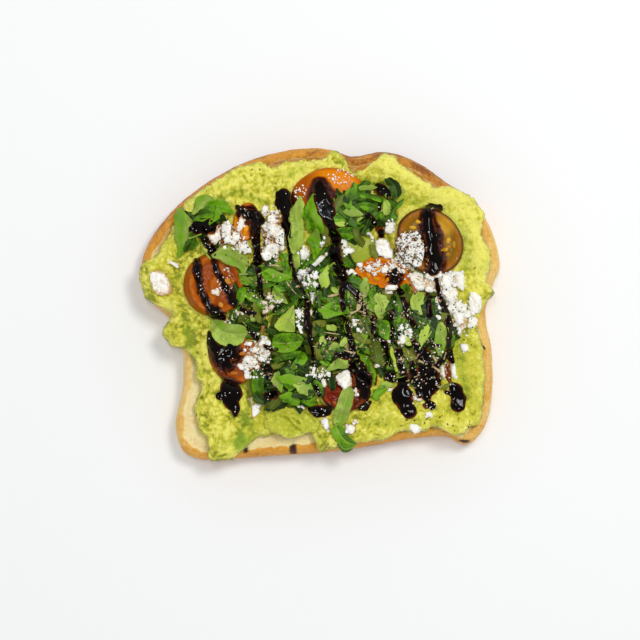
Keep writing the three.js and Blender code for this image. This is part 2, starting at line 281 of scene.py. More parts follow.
class Relief:
    """Heights of all that is laid so far, over a square net, so that the next piece lies on it."""

    def __init__(self, reach, step):
        self.step = step
        self.low = -reach
        marks = self.low + step * np.arange(int(2 * reach / step) + 1)
        self.x, self.y = np.meshgrid(marks, marks)
        inside = np.hypot(self.x, self.y) < edge_reach(bearing(self.x, self.y))
        self.heights = np.where(inside, bread_height(self.x, self.y), 0.0)

    def at(self, x, y, values=None):
        """Height under each place, or what other values over the net come to there."""
        h = self.heights if values is None else values
        column, row = (np.clip((np.asarray(mark) - self.low) / self.step, 0, len(h) - 1.001)
                       for mark in (x, y))
        c, r = column.astype(int), row.astype(int)
        u, v = column - c, row - r
        lower = h[r, c] * (1 - u) + h[r, c + 1] * u
        upper = h[r + 1, c] * (1 - u) + h[r + 1, c + 1] * u
        return lower * (1 - v) + upper * v

    def cover(self, points, closed=False):
        """Raises the relief to a net of points (rows, columns, 3) laid over it."""
        fine = np.concatenate([points, points[:, :1]], 1) if closed else points
        for axis in (0, 1) * (2 if closed else 1):
            count = fine.shape[axis]
            middle = (np.take(fine, range(count - 1), axis)
                      + np.take(fine, range(1, count), axis)) / 2
            fine = np.insert(fine, np.arange(1, count), middle, axis)
        c, r = (np.rint((fine[..., axis] - self.low) / self.step).astype(int).ravel()
                for axis in (0, 1))
        np.maximum.at(self.heights, (r, c), fine[..., 2].ravel())


relief = Relief(RELIEF_REACH, RELIEF_STEP)


# ---------------------------------------------------------------- meshes


def net_faces(rows, columns, closed=False):
    """Quads of a net of points stored row by row; closed joins each row's end to its start."""
    row = np.arange(rows - 1)[:, None] * columns
    here = np.arange(columns if closed else columns - 1)[None, :]
    there = (here + 1) % columns
    quads = np.stack([row + here, row + there, row + columns + there, row + columns + here], -1)
    return quads.reshape(-1, 4)


def fan_faces(ring_start, columns, pole, flip):
    """Triangles between one ring of a net and a pole."""
    here = ring_start + np.arange(columns)
    there = ring_start + (np.arange(columns) + 1) % columns
    middle = np.full(columns, pole)
    return np.stack([there, here, middle] if flip else [here, there, middle], 1)


class Batch:
    """Several closed bodies that become one piece, with masks for each point; 0 where not given."""

    def __init__(self):
        self.points, self.faces, self.masks, self.count = [], [], [], 0

    def add(self, points, faces, **masks):
        """Adds one body: points (n, 3), and a list of arrays of quads or triangles."""
        self.points.append(points)
        self.faces += [part + self.count for part in faces]
        self.masks.append(
            {name: np.broadcast_to(value, len(points)) for name, value in masks.items()}
        )
        self.count += len(points)

    def add_rings(self, rings, **masks):
        """A closed body through rings of equal length, drawn shut at both ends."""
        levels, columns, _ = rings.shape
        poles = levels * columns
        self.add(
            np.vstack([rings.reshape(-1, 3), rings[0].mean(0), rings[-1].mean(0)]),
            [
                net_faces(levels, columns, closed=True),
                fan_faces(0, columns, poles, flip=True),
                fan_faces(poles - columns, columns, poles + 1, flip=False),
            ],
            **{name: np.append(value, np.ravel(value)[[0, -1]]) if np.size(value) > 1 else value
               for name, value in masks.items()},
        )

    def add_sheet(self, upper, lower, **masks):
        """A thin closed body between an upper and a lower net of points."""
        rows, columns, _ = upper.shape
        half = rows * columns
        quads = net_faces(rows, columns)
        index = np.arange(half).reshape(rows, columns)
        rim = np.concatenate([index[0, :], index[1:, -1], index[-1, -2::-1], index[-2:0:-1, 0]])
        after = np.roll(rim, -1)
        self.add(
            np.vstack([upper.reshape(-1, 3), lower.reshape(-1, 3)]),
            [quads, quads[:, ::-1] + half, np.stack([rim, rim + half, after + half, after], 1)],
            **{name: np.tile(np.ravel(value), 2) if np.size(value) > 1 else value
               for name, value in masks.items()},
        )

    def build(self, name, slot, nodes, material):
        """Makes the piece itself, in place, riding on the toast."""
        mesh = bpy.data.meshes.new(name)
        points = to_frame(np.vstack(self.points))
        loops = np.concatenate([part.ravel() for part in self.faces])
        sizes = np.concatenate([np.full(len(part), part.shape[1]) for part in self.faces])
        mesh.vertices.add(len(points))
        mesh.vertices.foreach_set("co", points.ravel().astype(np.float32))
        mesh.loops.add(len(loops))
        mesh.loops.foreach_set("vertex_index", loops.astype(np.int32))
        mesh.polygons.add(len(sizes))
        starts = np.concatenate([[0], np.cumsum(sizes)[:-1]])
        mesh.polygons.foreach_set("loop_start", starts.astype(np.int32))
        mesh.polygons.foreach_set("loop_total", sizes.astype(np.int32))
        mesh.polygons.foreach_set("use_smooth", np.ones(len(sizes), bool))
        mesh.update(calc_edges=True)
        mesh.validate()
        for mask in sorted({key for masks in self.masks for key in masks}):
            values = [masks.get(mask, np.zeros(len(part)))
                      for masks, part in zip(self.masks, self.points)]
            layer = mesh.attributes.new(mask, "FLOAT", "POINT")
            layer.data.foreach_set("value", np.concatenate(values).astype(np.float32))
        mesh.materials.append(material)
        piece = bpy.data.objects.new(name, mesh)
        bpy.context.scene.collection.objects.link(piece)
        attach(piece, "root")
        if nodes:
            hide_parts(*nodes)


def net_normals(net, closed=False):
    """Unit normals of a net of points; closed where each row runs on into its start."""
    if closed:
        across = np.roll(net, -1, 1) - np.roll(net, 1, 1)
    else:
        across = np.gradient(net, axis=1)
    along = np.gradient(net, axis=0)
    normals = np.cross(across, along)
    return normals / np.maximum(np.linalg.norm(normals, axis=-1, keepdims=True), 1e-9)


# ---------------------------------------------------------------- shader nodes


class Graph:
    """Adds nodes to a shader tree. An input is a number, a colour or another node's output."""

    def __init__(self, tree):
        self.tree = tree

    def feed(self, socket, value):
        if isinstance(value, bpy.types.NodeSocket):
            self.tree.links.new(value, socket)
        elif socket.type == "RGBA" and len(value) == 3:
            socket.default_value = (*value, 1)
        else:
            socket.default_value = value

    def add(self, kind, inputs=None, **settings):
        node = self.tree.nodes.new(kind)
        for key, value in settings.items():
            setattr(node, key, value)
        for key, value in (inputs or {}).items():
            self.feed(node.inputs[key], value)
        return node

    def math(self, operation, *values):
        return self.add("ShaderNodeMath", dict(enumerate(values)), operation=operation).outputs[0]

    def mix(self, share, first, second):
        return self.add("ShaderNodeMix", {0: share, 6: first, 7: second},
                        data_type="RGBA").outputs[2]

    def layers(self, colour, *coats):
        """A colour with coats over it, each given as its share and its colour."""
        for share, coat in coats:
            colour = self.mix(share, colour, coat)
        return colour

    def spread(self, value, low, high, to_low=0.0, to_high=1.0):
        """value taken from low..high to to_low..to_high, with a smooth start and end."""
        return self.add("ShaderNodeMapRange", {0: value, 1: low, 2: high, 3: to_low, 4: to_high},
                        interpolation_type="SMOOTHSTEP").outputs[0]

    def place(self):
        return self.add("ShaderNodeTexCoord").outputs["Object"]

    def mask(self, name):
        return self.add("ShaderNodeAttribute", attribute_name=name).outputs["Fac"]

    def noise(self, place, size, detail=2.0, rough=0.5):
        return self.add("ShaderNodeTexNoise", {"Vector": place, "Scale": 1 / (size * MM),
                                               "Detail": detail, "Roughness": rough}).outputs[0]

    def cells(self, place, size):
        return self.add("ShaderNodeTexVoronoi",
                        {"Vector": place, "Scale": 1 / (size * MM)}).outputs["Distance"]

    def group(self, name, **inputs):
        """The output of the shared effect of that name, with its own values here."""
        tree = bpy.data.node_groups.get(name) or GROUPS[name](name)
        return self.add("ShaderNodeGroup", inputs, node_tree=tree).outputs[0]

    def bump(self, height, distance, strength=1.0):
        return self.add("ShaderNodeBump", {"Strength": strength, "Distance": distance * MM,
                                           "Height": height}).outputs[0]


def new_group(name, inputs, output):
    """An empty shader node group with the sockets Place and one for each named value."""
    tree = bpy.data.node_groups.new(name, "ShaderNodeTree")
    tree.interface.new_socket("Place", in_out="INPUT", socket_type="NodeSocketVector")
    for label, default in inputs.items():
        socket = tree.interface.new_socket(label, in_out="INPUT", socket_type="NodeSocketFloat")
        socket.default_value = default
    tree.interface.new_socket(output, in_out="OUTPUT", socket_type="NodeSocketFloat")
    graph = Graph(tree)
    given = graph.add("NodeGroupInput").outputs
    scale = graph.math("DIVIDE", 1 / MM, given["Size"])
    return graph, given, scale, graph.add("NodeGroupOutput").inputs[0]


def grain_group(name):
    """Fine uneven grain: soft swells with small grains over them."""
    graph, given, scale, out = new_group(name, {"Size": 1.0, "Sharpness": 0.5}, "Height")
    swells = graph.add("ShaderNodeTexNoise", {"Vector": given["Place"], "Scale": scale,
                                              "Detail": 4.0, "Roughness": given["Sharpness"]})
    finer = graph.math("MULTIPLY", scale, 2.1)
    cells = graph.add("ShaderNodeTexVoronoi", {"Vector": given["Place"], "Scale": finer,
                                               "Smoothness": 0.4}, feature="SMOOTH_F1")
    grains = graph.math("SUBTRACT", 1.0, cells.outputs["Distance"])
    graph.feed(out, graph.math("MULTIPLY_ADD", grains, 0.45, swells.outputs[0]))
    return graph.tree


def speck_group(name):
    """Small specks strewn at random: Share of the cells of Size holds one."""
    graph, given, scale, out = new_group(name, {"Size": 1.0, "Share": 0.3, "Reach": 0.3}, "Specks")
    cells = graph.add("ShaderNodeTexVoronoi", {"Vector": given["Place"], "Scale": scale}).outputs
    near = graph.math("LESS_THAN", cells["Distance"], given["Reach"])
    luck = graph.add("ShaderNodeSeparateColor", {0: cells["Color"]}).outputs[0]
    chosen = graph.math("LESS_THAN", luck, given["Share"])
    graph.feed(out, graph.math("MULTIPLY", near, chosen))
    return graph.tree


GROUPS = {"uneven_grain": grain_group, "strewn_specks": speck_group}


def new_material(name):
    """An empty material with its graph, and the place of each point."""
    material = bpy.data.materials.new(name)
    material.use_nodes = True
    material.node_tree.nodes.clear()
    graph = Graph(material.node_tree)
    graph.shader = graph.add("ShaderNodeBsdfPrincipled")
    graph.add("ShaderNodeOutputMaterial", {0: graph.shader.outputs[0]})
    return material, graph, graph.place()


def finish_shader(graph, **inputs):
    """Links or sets the shader's sockets; an underscore in a name stands for a space."""
    for key, value in inputs.items():
        graph.feed(graph.shader.inputs[key.replace("_", " ")], value)


def colour_setting(label, description, colour):
    return FloatVectorProperty(
        name=label, description=description, subtype="COLOR", size=3, min=0, max=1, default=colour
    )


def length_setting(label, description, size):
    return FloatProperty(
        name=label, description=description, unit="LENGTH", min=0, precision=5, default=size * MM
    )


# ---------------------------------------------------------------- bread

BREAD_COLUMNS = 480
# Rings on the underside and on the crumb, as shares of the way out to the crust.
UNDERSIDE_RINGS = (0.3, 0.8, 0.96)
CRUMB_RINGS = [*np.linspace(1, 0.76, 32)[1:], 0.68, 0.56, 0.42, 0.26, 0.1]
# How far in from the edge, and how high, the crust runs from the foot to the crumb.
CRUST_PROFILE = [(1.8, 0), (0.45, 1.5), (0, 5.2), (0.35, 9.2), (1.22, 12.2), (2.31, 13.5),
                 (3.4, 14)]
# How brown the crust is by bearing: 0 pale, 1 dark brown.
CRUST_BAKE = [(0, 0.34), (12, 0.22), (25, 0.32), (40, 0.8), (52, 0.86), (66, 0.8), (76, 0.8),
              (84, 0.68), (96, 0.64), (116, 0.7), (140, 0.68), (158, 0.64), (176, 0.46),
              (196, 0.12), (217, 0.24), (230, 0.46), (250, 0.56), (270, 0.56), (292, 0.58),
              (310, 0.5), (322, 0.36), (345, 0.32)]
# Scorched spots: x, y, half width, half height.
SCORCHES = [(-8.9, -49.2, 1.3, 2.4), (-25, -49.4, 0.8, 1.2), (43.2, -45.2, 1.5, 0.9),
            (48.8, -46.4, 2.6, 0.7), (55.6, -25.2, 0.9, 0.9), (55.3, -14.6, 1.2, 0.7),
            (-39, 36.5, 1.4, 0.6), (22, -43.6, 2, 0.6)]


class BreadSettings(bpy.types.PropertyGroup):
    crust: colour_setting("Crust", "Golden crust", tint(232, 162, 56))
    dark_crust: colour_setting("Dark crust", "Crust where it is baked longest", tint(142, 76, 26))
    crumb: colour_setting("Crumb", "Toasted crumb", tint(255, 232, 168))
    pores: length_setting("Pores", "Depth of the pores of the crumb", 0.3)


def slice_rings():
    """Rings of the slice from the underside over the crust to the middle of the crumb."""
    ring = smooth_line(SLICE_EDGE, BREAD_COLUMNS, closed=True)
    ahead = np.roll(ring, -1, 0) - np.roll(ring, 1, 0)
    outward = np.stack([ahead[:, 1], -ahead[:, 0]], 1)
    outward /= np.linalg.norm(outward, axis=1, keepdims=True)
    profile = smooth_line(CRUST_PROFILE, 36)
    foot = ring - outward * profile[0, 0]
    rings = [np.column_stack([foot * reach, np.zeros(len(ring))]) for reach in UNDERSIDE_RINGS]
    for inset, height in profile:
        rings.append(np.column_stack([ring - outward * inset, np.full(len(ring), height)]))
    shoulder = rings[-1][:, :2]
    for reach in CRUMB_RINGS:
        rings.append(np.column_stack([shoulder * reach, np.full(len(ring), BREAD_TOP)]))
    return np.array(rings)


def bread_material(settings):
    material, graph, place = new_material("toasted_bread")
    crust, bake = graph.mask("crust"), graph.mask("bake")
    broad = graph.noise(place, 7, 3)
    fine = graph.noise(place, 1.3, 4, 0.65)
    uneven = graph.math("MULTIPLY_ADD", broad, 0.5, graph.math("MULTIPLY", fine, 0.5))
    baked = graph.math("ADD", bake, graph.math("MULTIPLY_ADD", uneven, 1.4, -0.66))
    specks = graph.group("strewn_specks", Place=place, Size=0.9, Share=0.4, Reach=0.26)
    dark = graph.math("MULTIPLY", specks, graph.spread(bake, 0.3, 0.8, 0.1, 0.55))
    browned = graph.layers(
        tint(250, 224, 176),
        (graph.spread(baked, 0.02, 0.3), tint(250, 208, 120)),
        (graph.spread(baked, 0.25, 0.6), settings.crust),
        (graph.spread(baked, 0.6, 1.05), settings.dark_crust),
        (dark, tint(110, 58, 26)),
    )
    edge = graph.math("ADD", crust, graph.math("MULTIPLY_ADD", fine, 0.5, -0.25))
    toast = graph.math("MULTIPLY", graph.mask("toast"), graph.spread(uneven, 0.3, 0.6, 0.5, 1))
    stain = graph.math("MULTIPLY", graph.mask("stain"), graph.spread(broad, 0.35, 0.6, 0, 0.2))
    colour = graph.layers(
        settings.crumb,
        (graph.spread(uneven, 0.46, 0.62, 0, 0.4), tint(238, 190, 118)),
        (graph.spread(graph.cells(place, 1.5), 0.5, 0.9, 0, 0.3), tint(255, 242, 204)),
        (graph.spread(edge, 0.3, 0.7), browned),
        (toast, tint(204, 126, 44)),
        (stain, tint(206, 180, 60)),
        (graph.mask("scorch"), tint(66, 36, 20)),
    )
    grain = graph.group("uneven_grain", Place=place, Size=0.9, Sharpness=0.62)
    finish_shader(graph, Base_Color=colour, Roughness=graph.spread(crust, 0, 1, 0.85, 0.55),
                  Normal=graph.bump(grain, 0.7, 0.9), Specular_IOR_Level=0.2,
                  Subsurface_Weight=0.08, Subsurface_Scale=0.001,
                  Subsurface_Radius=(1.0, 0.6, 0.3))
    return material


class TOAST_OT_bread(bpy.types.Operator):
    """Slice of toasted sandwich bread with a browned crust and an open crumb"""

    bl_idname = "toast.bread"
    bl_label = "Bread"

    def execute(self, context):
        settings = context.scene.toast_bread
        rings = slice_rings()
        x, y, z = rings[..., 0], rings[..., 1], rings[..., 2]
        bearings = bearing(x, y)
        inside = edge_reach(bearings) - np.hypot(x, y)
        upper = smoothstep(11, 13.8, z)
        crumb = upper * smoothstep(2.6, 4.4, inside + 0.7 * swell(rings[..., :2], 4, 3))
        (holes, _), (finer, _) = nearest_seeds(rings, 1.7, 5), nearest_seeds(rings, 0.9, 6)
        pits = smoothstep(0.62, 0.2, holes) + 0.5 * smoothstep(0.6, 0.2, finer)
        wrinkles = 0.26 * swell(rings * (1, 1, 2.2), 2.6, 8, 3) + 0.22 * swell(rings, 11, 9)
        lift = wrinkles * smoothstep(0, 2, z) - crumb * pits * settings.pores / MM
        lift = lift + 0.25 * crumb * swell(rings[..., :2], 5, 12, 2)
        lift = lift - 0.5 * smoothstep(2.6, 4.2, inside) * smoothstep(7, 4.5, inside) * upper
        rings = rings + net_normals(rings, closed=True) * lift[..., None]
        rings[..., 2] = np.maximum(rings[..., 2], 0)
        rings[:len(UNDERSIDE_RINGS), :, 2] = 0
        bake = np.interp(bearings, *zip(*CRUST_BAKE), period=360)
        lower = smoothstep(11.5, 4, z) * smoothstep(0.45, 0.62, bake)
        scorch = np.zeros(z.shape)
        for sx, sy, wide, high in SCORCHES:
            away = np.hypot((x - sx) / wide, (y - sy) / high) + 0.25 * swell(rings, 1.2, 21)
            scorch = np.maximum(scorch, smoothstep(1.15, 0.7, away) * smoothstep(8, 11, z))
        batch = Batch()
        batch.add_rings(
            rings,
            crust=1 - crumb,
            bake=bake + 0.2 * lower - 0.1 * smoothstep(1.4, 0.2, z),
            stain=smoothstep(-2.6, 0.4, inside - mash_inset(bearings)) * upper,
            scorch=scorch,
            toast=crumb * smoothstep(14, 30, y),
        )
        batch.build("bread", "toasted_bread", ["bread_slice"], bread_material(settings))
        return {"FINISHED"}


# ---------------------------------------------------------------- mashed avocado

MASH_COLUMNS = 550
# Rings of the mash, as shares of the way out to its lip.
MASH_RINGS = [0.02, *np.linspace(0.08, 0.24, 5), *np.linspace(0.25, 1, 93)]
# How far round the mash turns over its lip, in degrees.
LIP_TURN = 118
# Mounds and hollows left by the knife: rise, half width, then the line that each follows.
MASH_STROKES = [
    (0.5, 8, [(-42, 36), (-22, 43), (-4, 43)]),
    (1.0, 5, [(20, 50), (34, 42), (46, 33), (53, 22), (55, 9)]),
    (0.9, 2.4, [(21.5, 52), (22.5, 45), (24, 39)]),
    (0.5, 4, [(54, 2), (55, -20), (53, -40)]),
    (0.9, 3, [(17, -36), (34, -38), (50, -41)]),
    (0.6, 1.8, [(15, -43), (30, -43.5), (42, -42)]),
    (1.2, 4.2, [(-37, -10), (-36, -25), (-34, -38), (-30, -50)]),
    (0.9, 5, [(-54, -3), (-50, -12)]),
    (0.5, 4, [(-57, 8), (-49, -1)]),
    (1.1, 3.4, [(40.4, -32.6), (41.8, -31.6)]),
    (-0.8, 2.6, [(9, 48), (14, 42), (22, 40)]),
    (-0.5, 2.4, [(28, 36.5), (36, 33.4), (47.5, 26), (49.4, 12)]),
    (-0.6, 2.4, [(-27, -37), (-20, -46)]),
    (-0.5, 2.2, [(46, -8), (49, -30)]),
    (-0.9, 2, [(-45.5, -4), (-43.5, -14), (-42, -24)]),
    (-0.5, 1.6, [(-45, 24), (-30, 38), (-18, 34)]),
    (-0.6, 1.4, [(-23, -28), (-25, -38), (-27.5, -47)]),
]
# Greener, darker patches: x, y, reach, share; partly the flesh's own green from under the skin,
# partly painted shade where the mash meets the crumb.
GREEN_PATCHES = [(-26.2, -46.4, 4.4, 0.8), (-24.5, -39, 3, 0.6), (-43.4, -22, 3, 0.6),
                 (27.5, 37, 3.6, 0.5), (-41.5, 22, 4, 0.5), (55, -9, 2.6, 0.6)]


class MashSettings(bpy.types.PropertyGroup):
    # Crests and creases are lit and shaded copies of the flesh: painted light on the crests,
    # painted shade in the creases.
    crest: colour_setting("Crests", "Mash where it stands up", tint(250, 242, 106))
    flesh: colour_setting("Flesh", "Most of the mash", tint(216, 210, 54))
    crease: colour_setting("Creases", "Mash in its creases", tint(154, 158, 24))
    lumps: length_setting("Lumps", "Height of the lumps", 0.9)


def mash_surface(x, y):
    """Height of the mash before its fine lumps, with a bed pressed in for each tomato."""
    height = np.full(np.shape(x), MASH_TOP - 0.25)
    for rise, reach, line in MASH_STROKES:
        away = line_distance(x, y, smooth_line(line, 12))
        height = height + rise * smoothstep(1.5 * reach, 0, away)
    places = np.stack([x, y], -1)
    height = height + 0.45 * swell(places, 9, 41) + 0.3 * swell(places, 4, 42, 2)
    for _, _, (x0, y0), half, turn, face, _ in TOMATOES:
        u, v = turned(0, 0, x - x0, y - y0, -math.radians(turn))
        out = (np.hypot(u / half[0], v / half[1]) - 1) * min(half)
        height = height + 0.7 * smoothstep(2.6, 0.4, np.abs(out))
        bed = face - 1.2 - 1.1 * np.sqrt(np.maximum(-out, 0))
        height = np.where(out < 0, np.minimum(height, bed), height)
    return height


def avocado_material(settings):
    material, graph, place = new_material("avocado_flesh")
    broad = graph.noise(place, 6, 3)
    fine = graph.noise(place, 1.1, 4, 0.6)
    chunks = graph.spread(graph.cells(place, 1.5), 0.08, 0.6, 0.32, -0.08)
    uneven = graph.math("ADD", chunks, graph.math("MULTIPLY_ADD", fine, 0.7, -0.35))
    rough = graph.math("MULTIPLY_ADD", graph.mask("calm"), -0.5, 1.0)
    # rise carries painted light and shade; level adds random lumps of tone to it.
    level = graph.math("MULTIPLY_ADD", uneven, rough, graph.mask("rise"))
    patches = graph.math("MULTIPLY", graph.spread(broad, 0.52, 0.7), 0.24)
    drawn = graph.add("ShaderNodeMapping", {"Vector": place, "Rotation": (0, 0, 0.5),
                                            "Scale": (0.35, 1.4, 1)}).outputs[0]
    specks = graph.group("strewn_specks", Place=place, Size=2.6, Share=0.16, Reach=0.14)
    colour = graph.layers(
        settings.crease,
        (graph.spread(level, 0.05, 0.5), settings.flesh),
        (graph.spread(level, 0.5, 0.95), settings.crest),
        (graph.math("MAXIMUM", patches, graph.mask("green")), tint(132, 172, 26)),
        (graph.spread(graph.noise(drawn, 2.2, 3), 0.58, 0.75, 0, 0.25), tint(240, 232, 120)),
        (graph.math("MULTIPLY", specks, 0.75), tint(112, 88, 30)),
    )
    grain = graph.group("uneven_grain", Place=place, Size=0.75, Sharpness=0.62)
    finish_shader(graph, Base_Color=colour, Roughness=graph.spread(fine, 0.35, 0.65, 0.1, 0.34),
                  Normal=graph.bump(grain, 0.7, 0.9), Specular_IOR_Level=0.5,
                  Subsurface_Weight=0.1, Subsurface_Scale=0.001,
                  Subsurface_Radius=(1.0, 0.9, 0.25))
    return material


class TOAST_OT_mash(bpy.types.Operator):
    """Mashed avocado over the slice, lumpy and left in mounds by the knife"""

    bl_idname = "toast.mash"
    bl_label = "Mashed avocado"

    def execute(self, context):
        settings = context.scene.toast_mash
        bearings = np.linspace(0, 360, MASH_COLUMNS, endpoint=False)
        edge = edge_reach(bearings)
        way = directions(MASH_COLUMNS)
        rim = edge - mash_inset(bearings)
        spots = way * rim[:, None]
        rim = rim + 0.8 * swell(spots, 7, 51) + 0.55 * swell(spots, 2.4, 52, 2)
        bed = bread_height(*(way * rim[:, None]).T)
        past = BREAD_TOP - EDGE_DROP + 0.3 * (edge - rim)
        bed = np.where(rim > edge, np.minimum(bed, past), bed)
        lip = 2.3 + 0.7 * swell(spots, 6, 53)
        rows = []
        for share in MASH_RINGS:
            reach = (rim - lip) * share
            x, y = way[:, 0] * reach, way[:, 1] * reach
            sag = 2.2 * smoothstep(CRUST_SHOULDER + 2, -2, edge - reach)
            rows.append(np.column_stack([x, y, mash_surface(x, y) - sag]))
        top = rows[-1][:, 2]
        for angle in np.radians(np.linspace(8, LIP_TURN, 13)):
            reach = rim - lip + lip * math.sin(angle)
            drop = (1 - math.cos(angle)) / (1 - math.cos(np.radians(LIP_TURN)))
            height = top + (bed + 0.15 - top) * drop
            rows.append(np.column_stack([way * reach[:, None], height]))
        rings = np.array(rows)[::-1]
        normals = net_normals(rings, closed=True)
        lumps = 0.55 * knobs(rings, 2.7, 61) + 0.5 * knobs(rings, 1.5, 62) - 0.55
        lumps = lumps + 0.5 * swell(rings, 3, 65, 2) + 0.45 * swell(rings, 1.2, 64, 2)
        calm = smoothstep(8, 26, rings[..., 0]) * smoothstep(4, -22, rings[..., 1])
        lumps = lumps * (0.9 + 0.6 * swell(rings, 8, 63)) * (1 - 0.4 * calm)
        rings = rings + normals * (lumps * settings.lumps / MM)[..., None]
        x, y = rings[..., 0], rings[..., 1]
        # Painted light and shade: rise lightens the crests and high places and darkens the creases,
        # paints more light over the right and the upper part, and is lowered at the lower right.
        hollow = rings[..., 2] - blurred(rings[..., 2], 14, closed=True)
        rise = 0.52 + 0.95 * hollow + 0.1 * (rings[..., 2] - MASH_TOP) + 0.02 * calm
        rise = rise + 0.28 * smoothstep(24, 44, x) * smoothstep(-8, 14, y)
        rise = rise + 0.16 * smoothstep(18, 34, y)
        rise = rise - 0.12 * smoothstep(46, 54, x) * smoothstep(0, -20, y)
        # Greener, darker flesh in the knife's hollows and at the foot of the mash on the bread:
        # painted shade.
        green = np.zeros(x.shape)
        for rise_by, reach, line in MASH_STROKES:
            if rise_by < 0:
                away = line_distance(x, y, smooth_line(line, 12))
                green = np.maximum(green, 0.32 * smoothstep(1.3 * reach, 0.2, away))
        green = np.maximum(green, 0.5 * smoothstep(0.6, 0, rings[..., 2] - bread_height(x, y)))
        for gx, gy, reach, share in GREEN_PATCHES:
            away = np.hypot(x - gx, y - gy) + 1.2 * swell(rings, 2.4, 66)
            green = np.maximum(green, share * smoothstep(reach, 0.3 * reach, away))
        relief.cover(rings[4:], closed=True)
        under = []
        for reach in (0.05, 0.5, 0.9, 0.97):
            spot = rings[0, :, :2] * reach
            under.append(np.column_stack([spot, bread_height(*spot.T) - 0.25]))
        masks = {"rise": rise, "green": green, "calm": calm}
        batch = Batch()
        batch.add_rings(np.concatenate([under, rings]),
                        **{name: np.pad(mask, ((len(under), 0), (0, 0)))
                           for name, mask in masks.items()})
        batch.build("avocado_mash", "mashed_avocado", ["avocado_spread"],
                    avocado_material(settings))
        return {"FINISHED"}


# ---------------------------------------------------------------- flat piece of avocado

# Its outline and the creases across it.
SLAB_OUTLINE = [
    (-18.5, -33.8), (-14, -33.3), (-11.5, -34.2), (-7, -35), (-3.5, -37.2), (-0.6, -38.5),
    (0, -40.2), (-1, -42.8), (-4.4, -43.4), (-6.5, -44.5), (-11, -44.9), (-15, -43.2),
    (-18.4, -41.3), (-19, -40), (-18.3, -37.4),
]
SLAB_CREASES = [
    [(-13.4, -37.4), (-10.8, -38.4), (-9.2, -40.4), (-6.4, -42.4)], [(-9, -38.2), (-7, -39.8)],
]


def slab_rings(top):
    """Rings of the flat piece: up its side, over a rounded edge and in to its middle."""
    foot, edge = 0.5, 1.1
    ring = smooth_line(SLAB_OUTLINE, 150, closed=True)[::-1]
    middle = ring.mean(0)
    reach = np.linalg.norm(ring - middle, axis=1).mean()
    bed = relief.at(ring[:, 0], ring[:, 1]) - 0.3
    rings = [np.column_stack([middle + (ring - middle) * 0.5, bed])]
    lowest = math.radians(40)
    for angle in np.radians(np.linspace(-40, 90, 12)):
        inset = (1 - math.cos(angle)) * edge + (foot if angle < 0 else 0) * math.sin(-angle)
        spot = middle + (ring - middle) * (1 - inset / reach)
        share = (math.sin(angle) + math.sin(lowest)) / (1 + math.sin(lowest))
        rings.append(np.column_stack([spot, bed + (top(*spot.T) - bed) * share]))
    for share in np.linspace(1 - edge / reach, 0.03, 34):
        spot = middle + (ring - middle) * share
        rings.append(np.column_stack([spot, top(*spot.T)]))
    return np.array(rings)


class TOAST_OT_slab(bpy.types.Operator):
    """Flat piece of avocado at the front, creased where the knife pressed it"""

    bl_idname = "toast.slab"
    bl_label = "Avocado slab"

    def execute(self, context):
        outline = smooth_line(SLAB_OUTLINE, 60, closed=True)

        def top(x, y):
            inside = line_distance(x, y, outline)
            height = 20.3 + 0.25 * swell(np.stack([x, y], -1), 4, 71, 2)
            for line in SLAB_CREASES:
                away = line_distance(x, y, smooth_line(line, 10))
                fold = 0.3 * smoothstep(1.3, 0, np.abs(away - 1)) - 0.6 * smoothstep(0.8, 0, away)
                height = height + fold * smoothstep(0.8, 2.4, inside)
            return height

        rings = slab_rings(top)
        fine = 0.25 * swell(rings, 1.5, 72, 2) + 0.3 * swell(rings, 3.4, 73)
        rings = rings + net_normals(rings, closed=True) * fine[..., None]
        hollow = rings[..., 2] - blurred(rings[..., 2], 8, closed=True)
        relief.cover(rings[4:], closed=True)
        batch = Batch()
        # Painted light on the slab's crests and painted shade in its creases, through rise.
        batch.add_rings(rings, rise=0.5 + 0.9 * hollow, green=0.24)
        batch.build("avocado_slab", "mashed_avocado", ["avocado_slab_front"],
                    bpy.data.materials["avocado_flesh"])
        return {"FINISHED"}


# ---------------------------------------------------------------- where the glaze runs

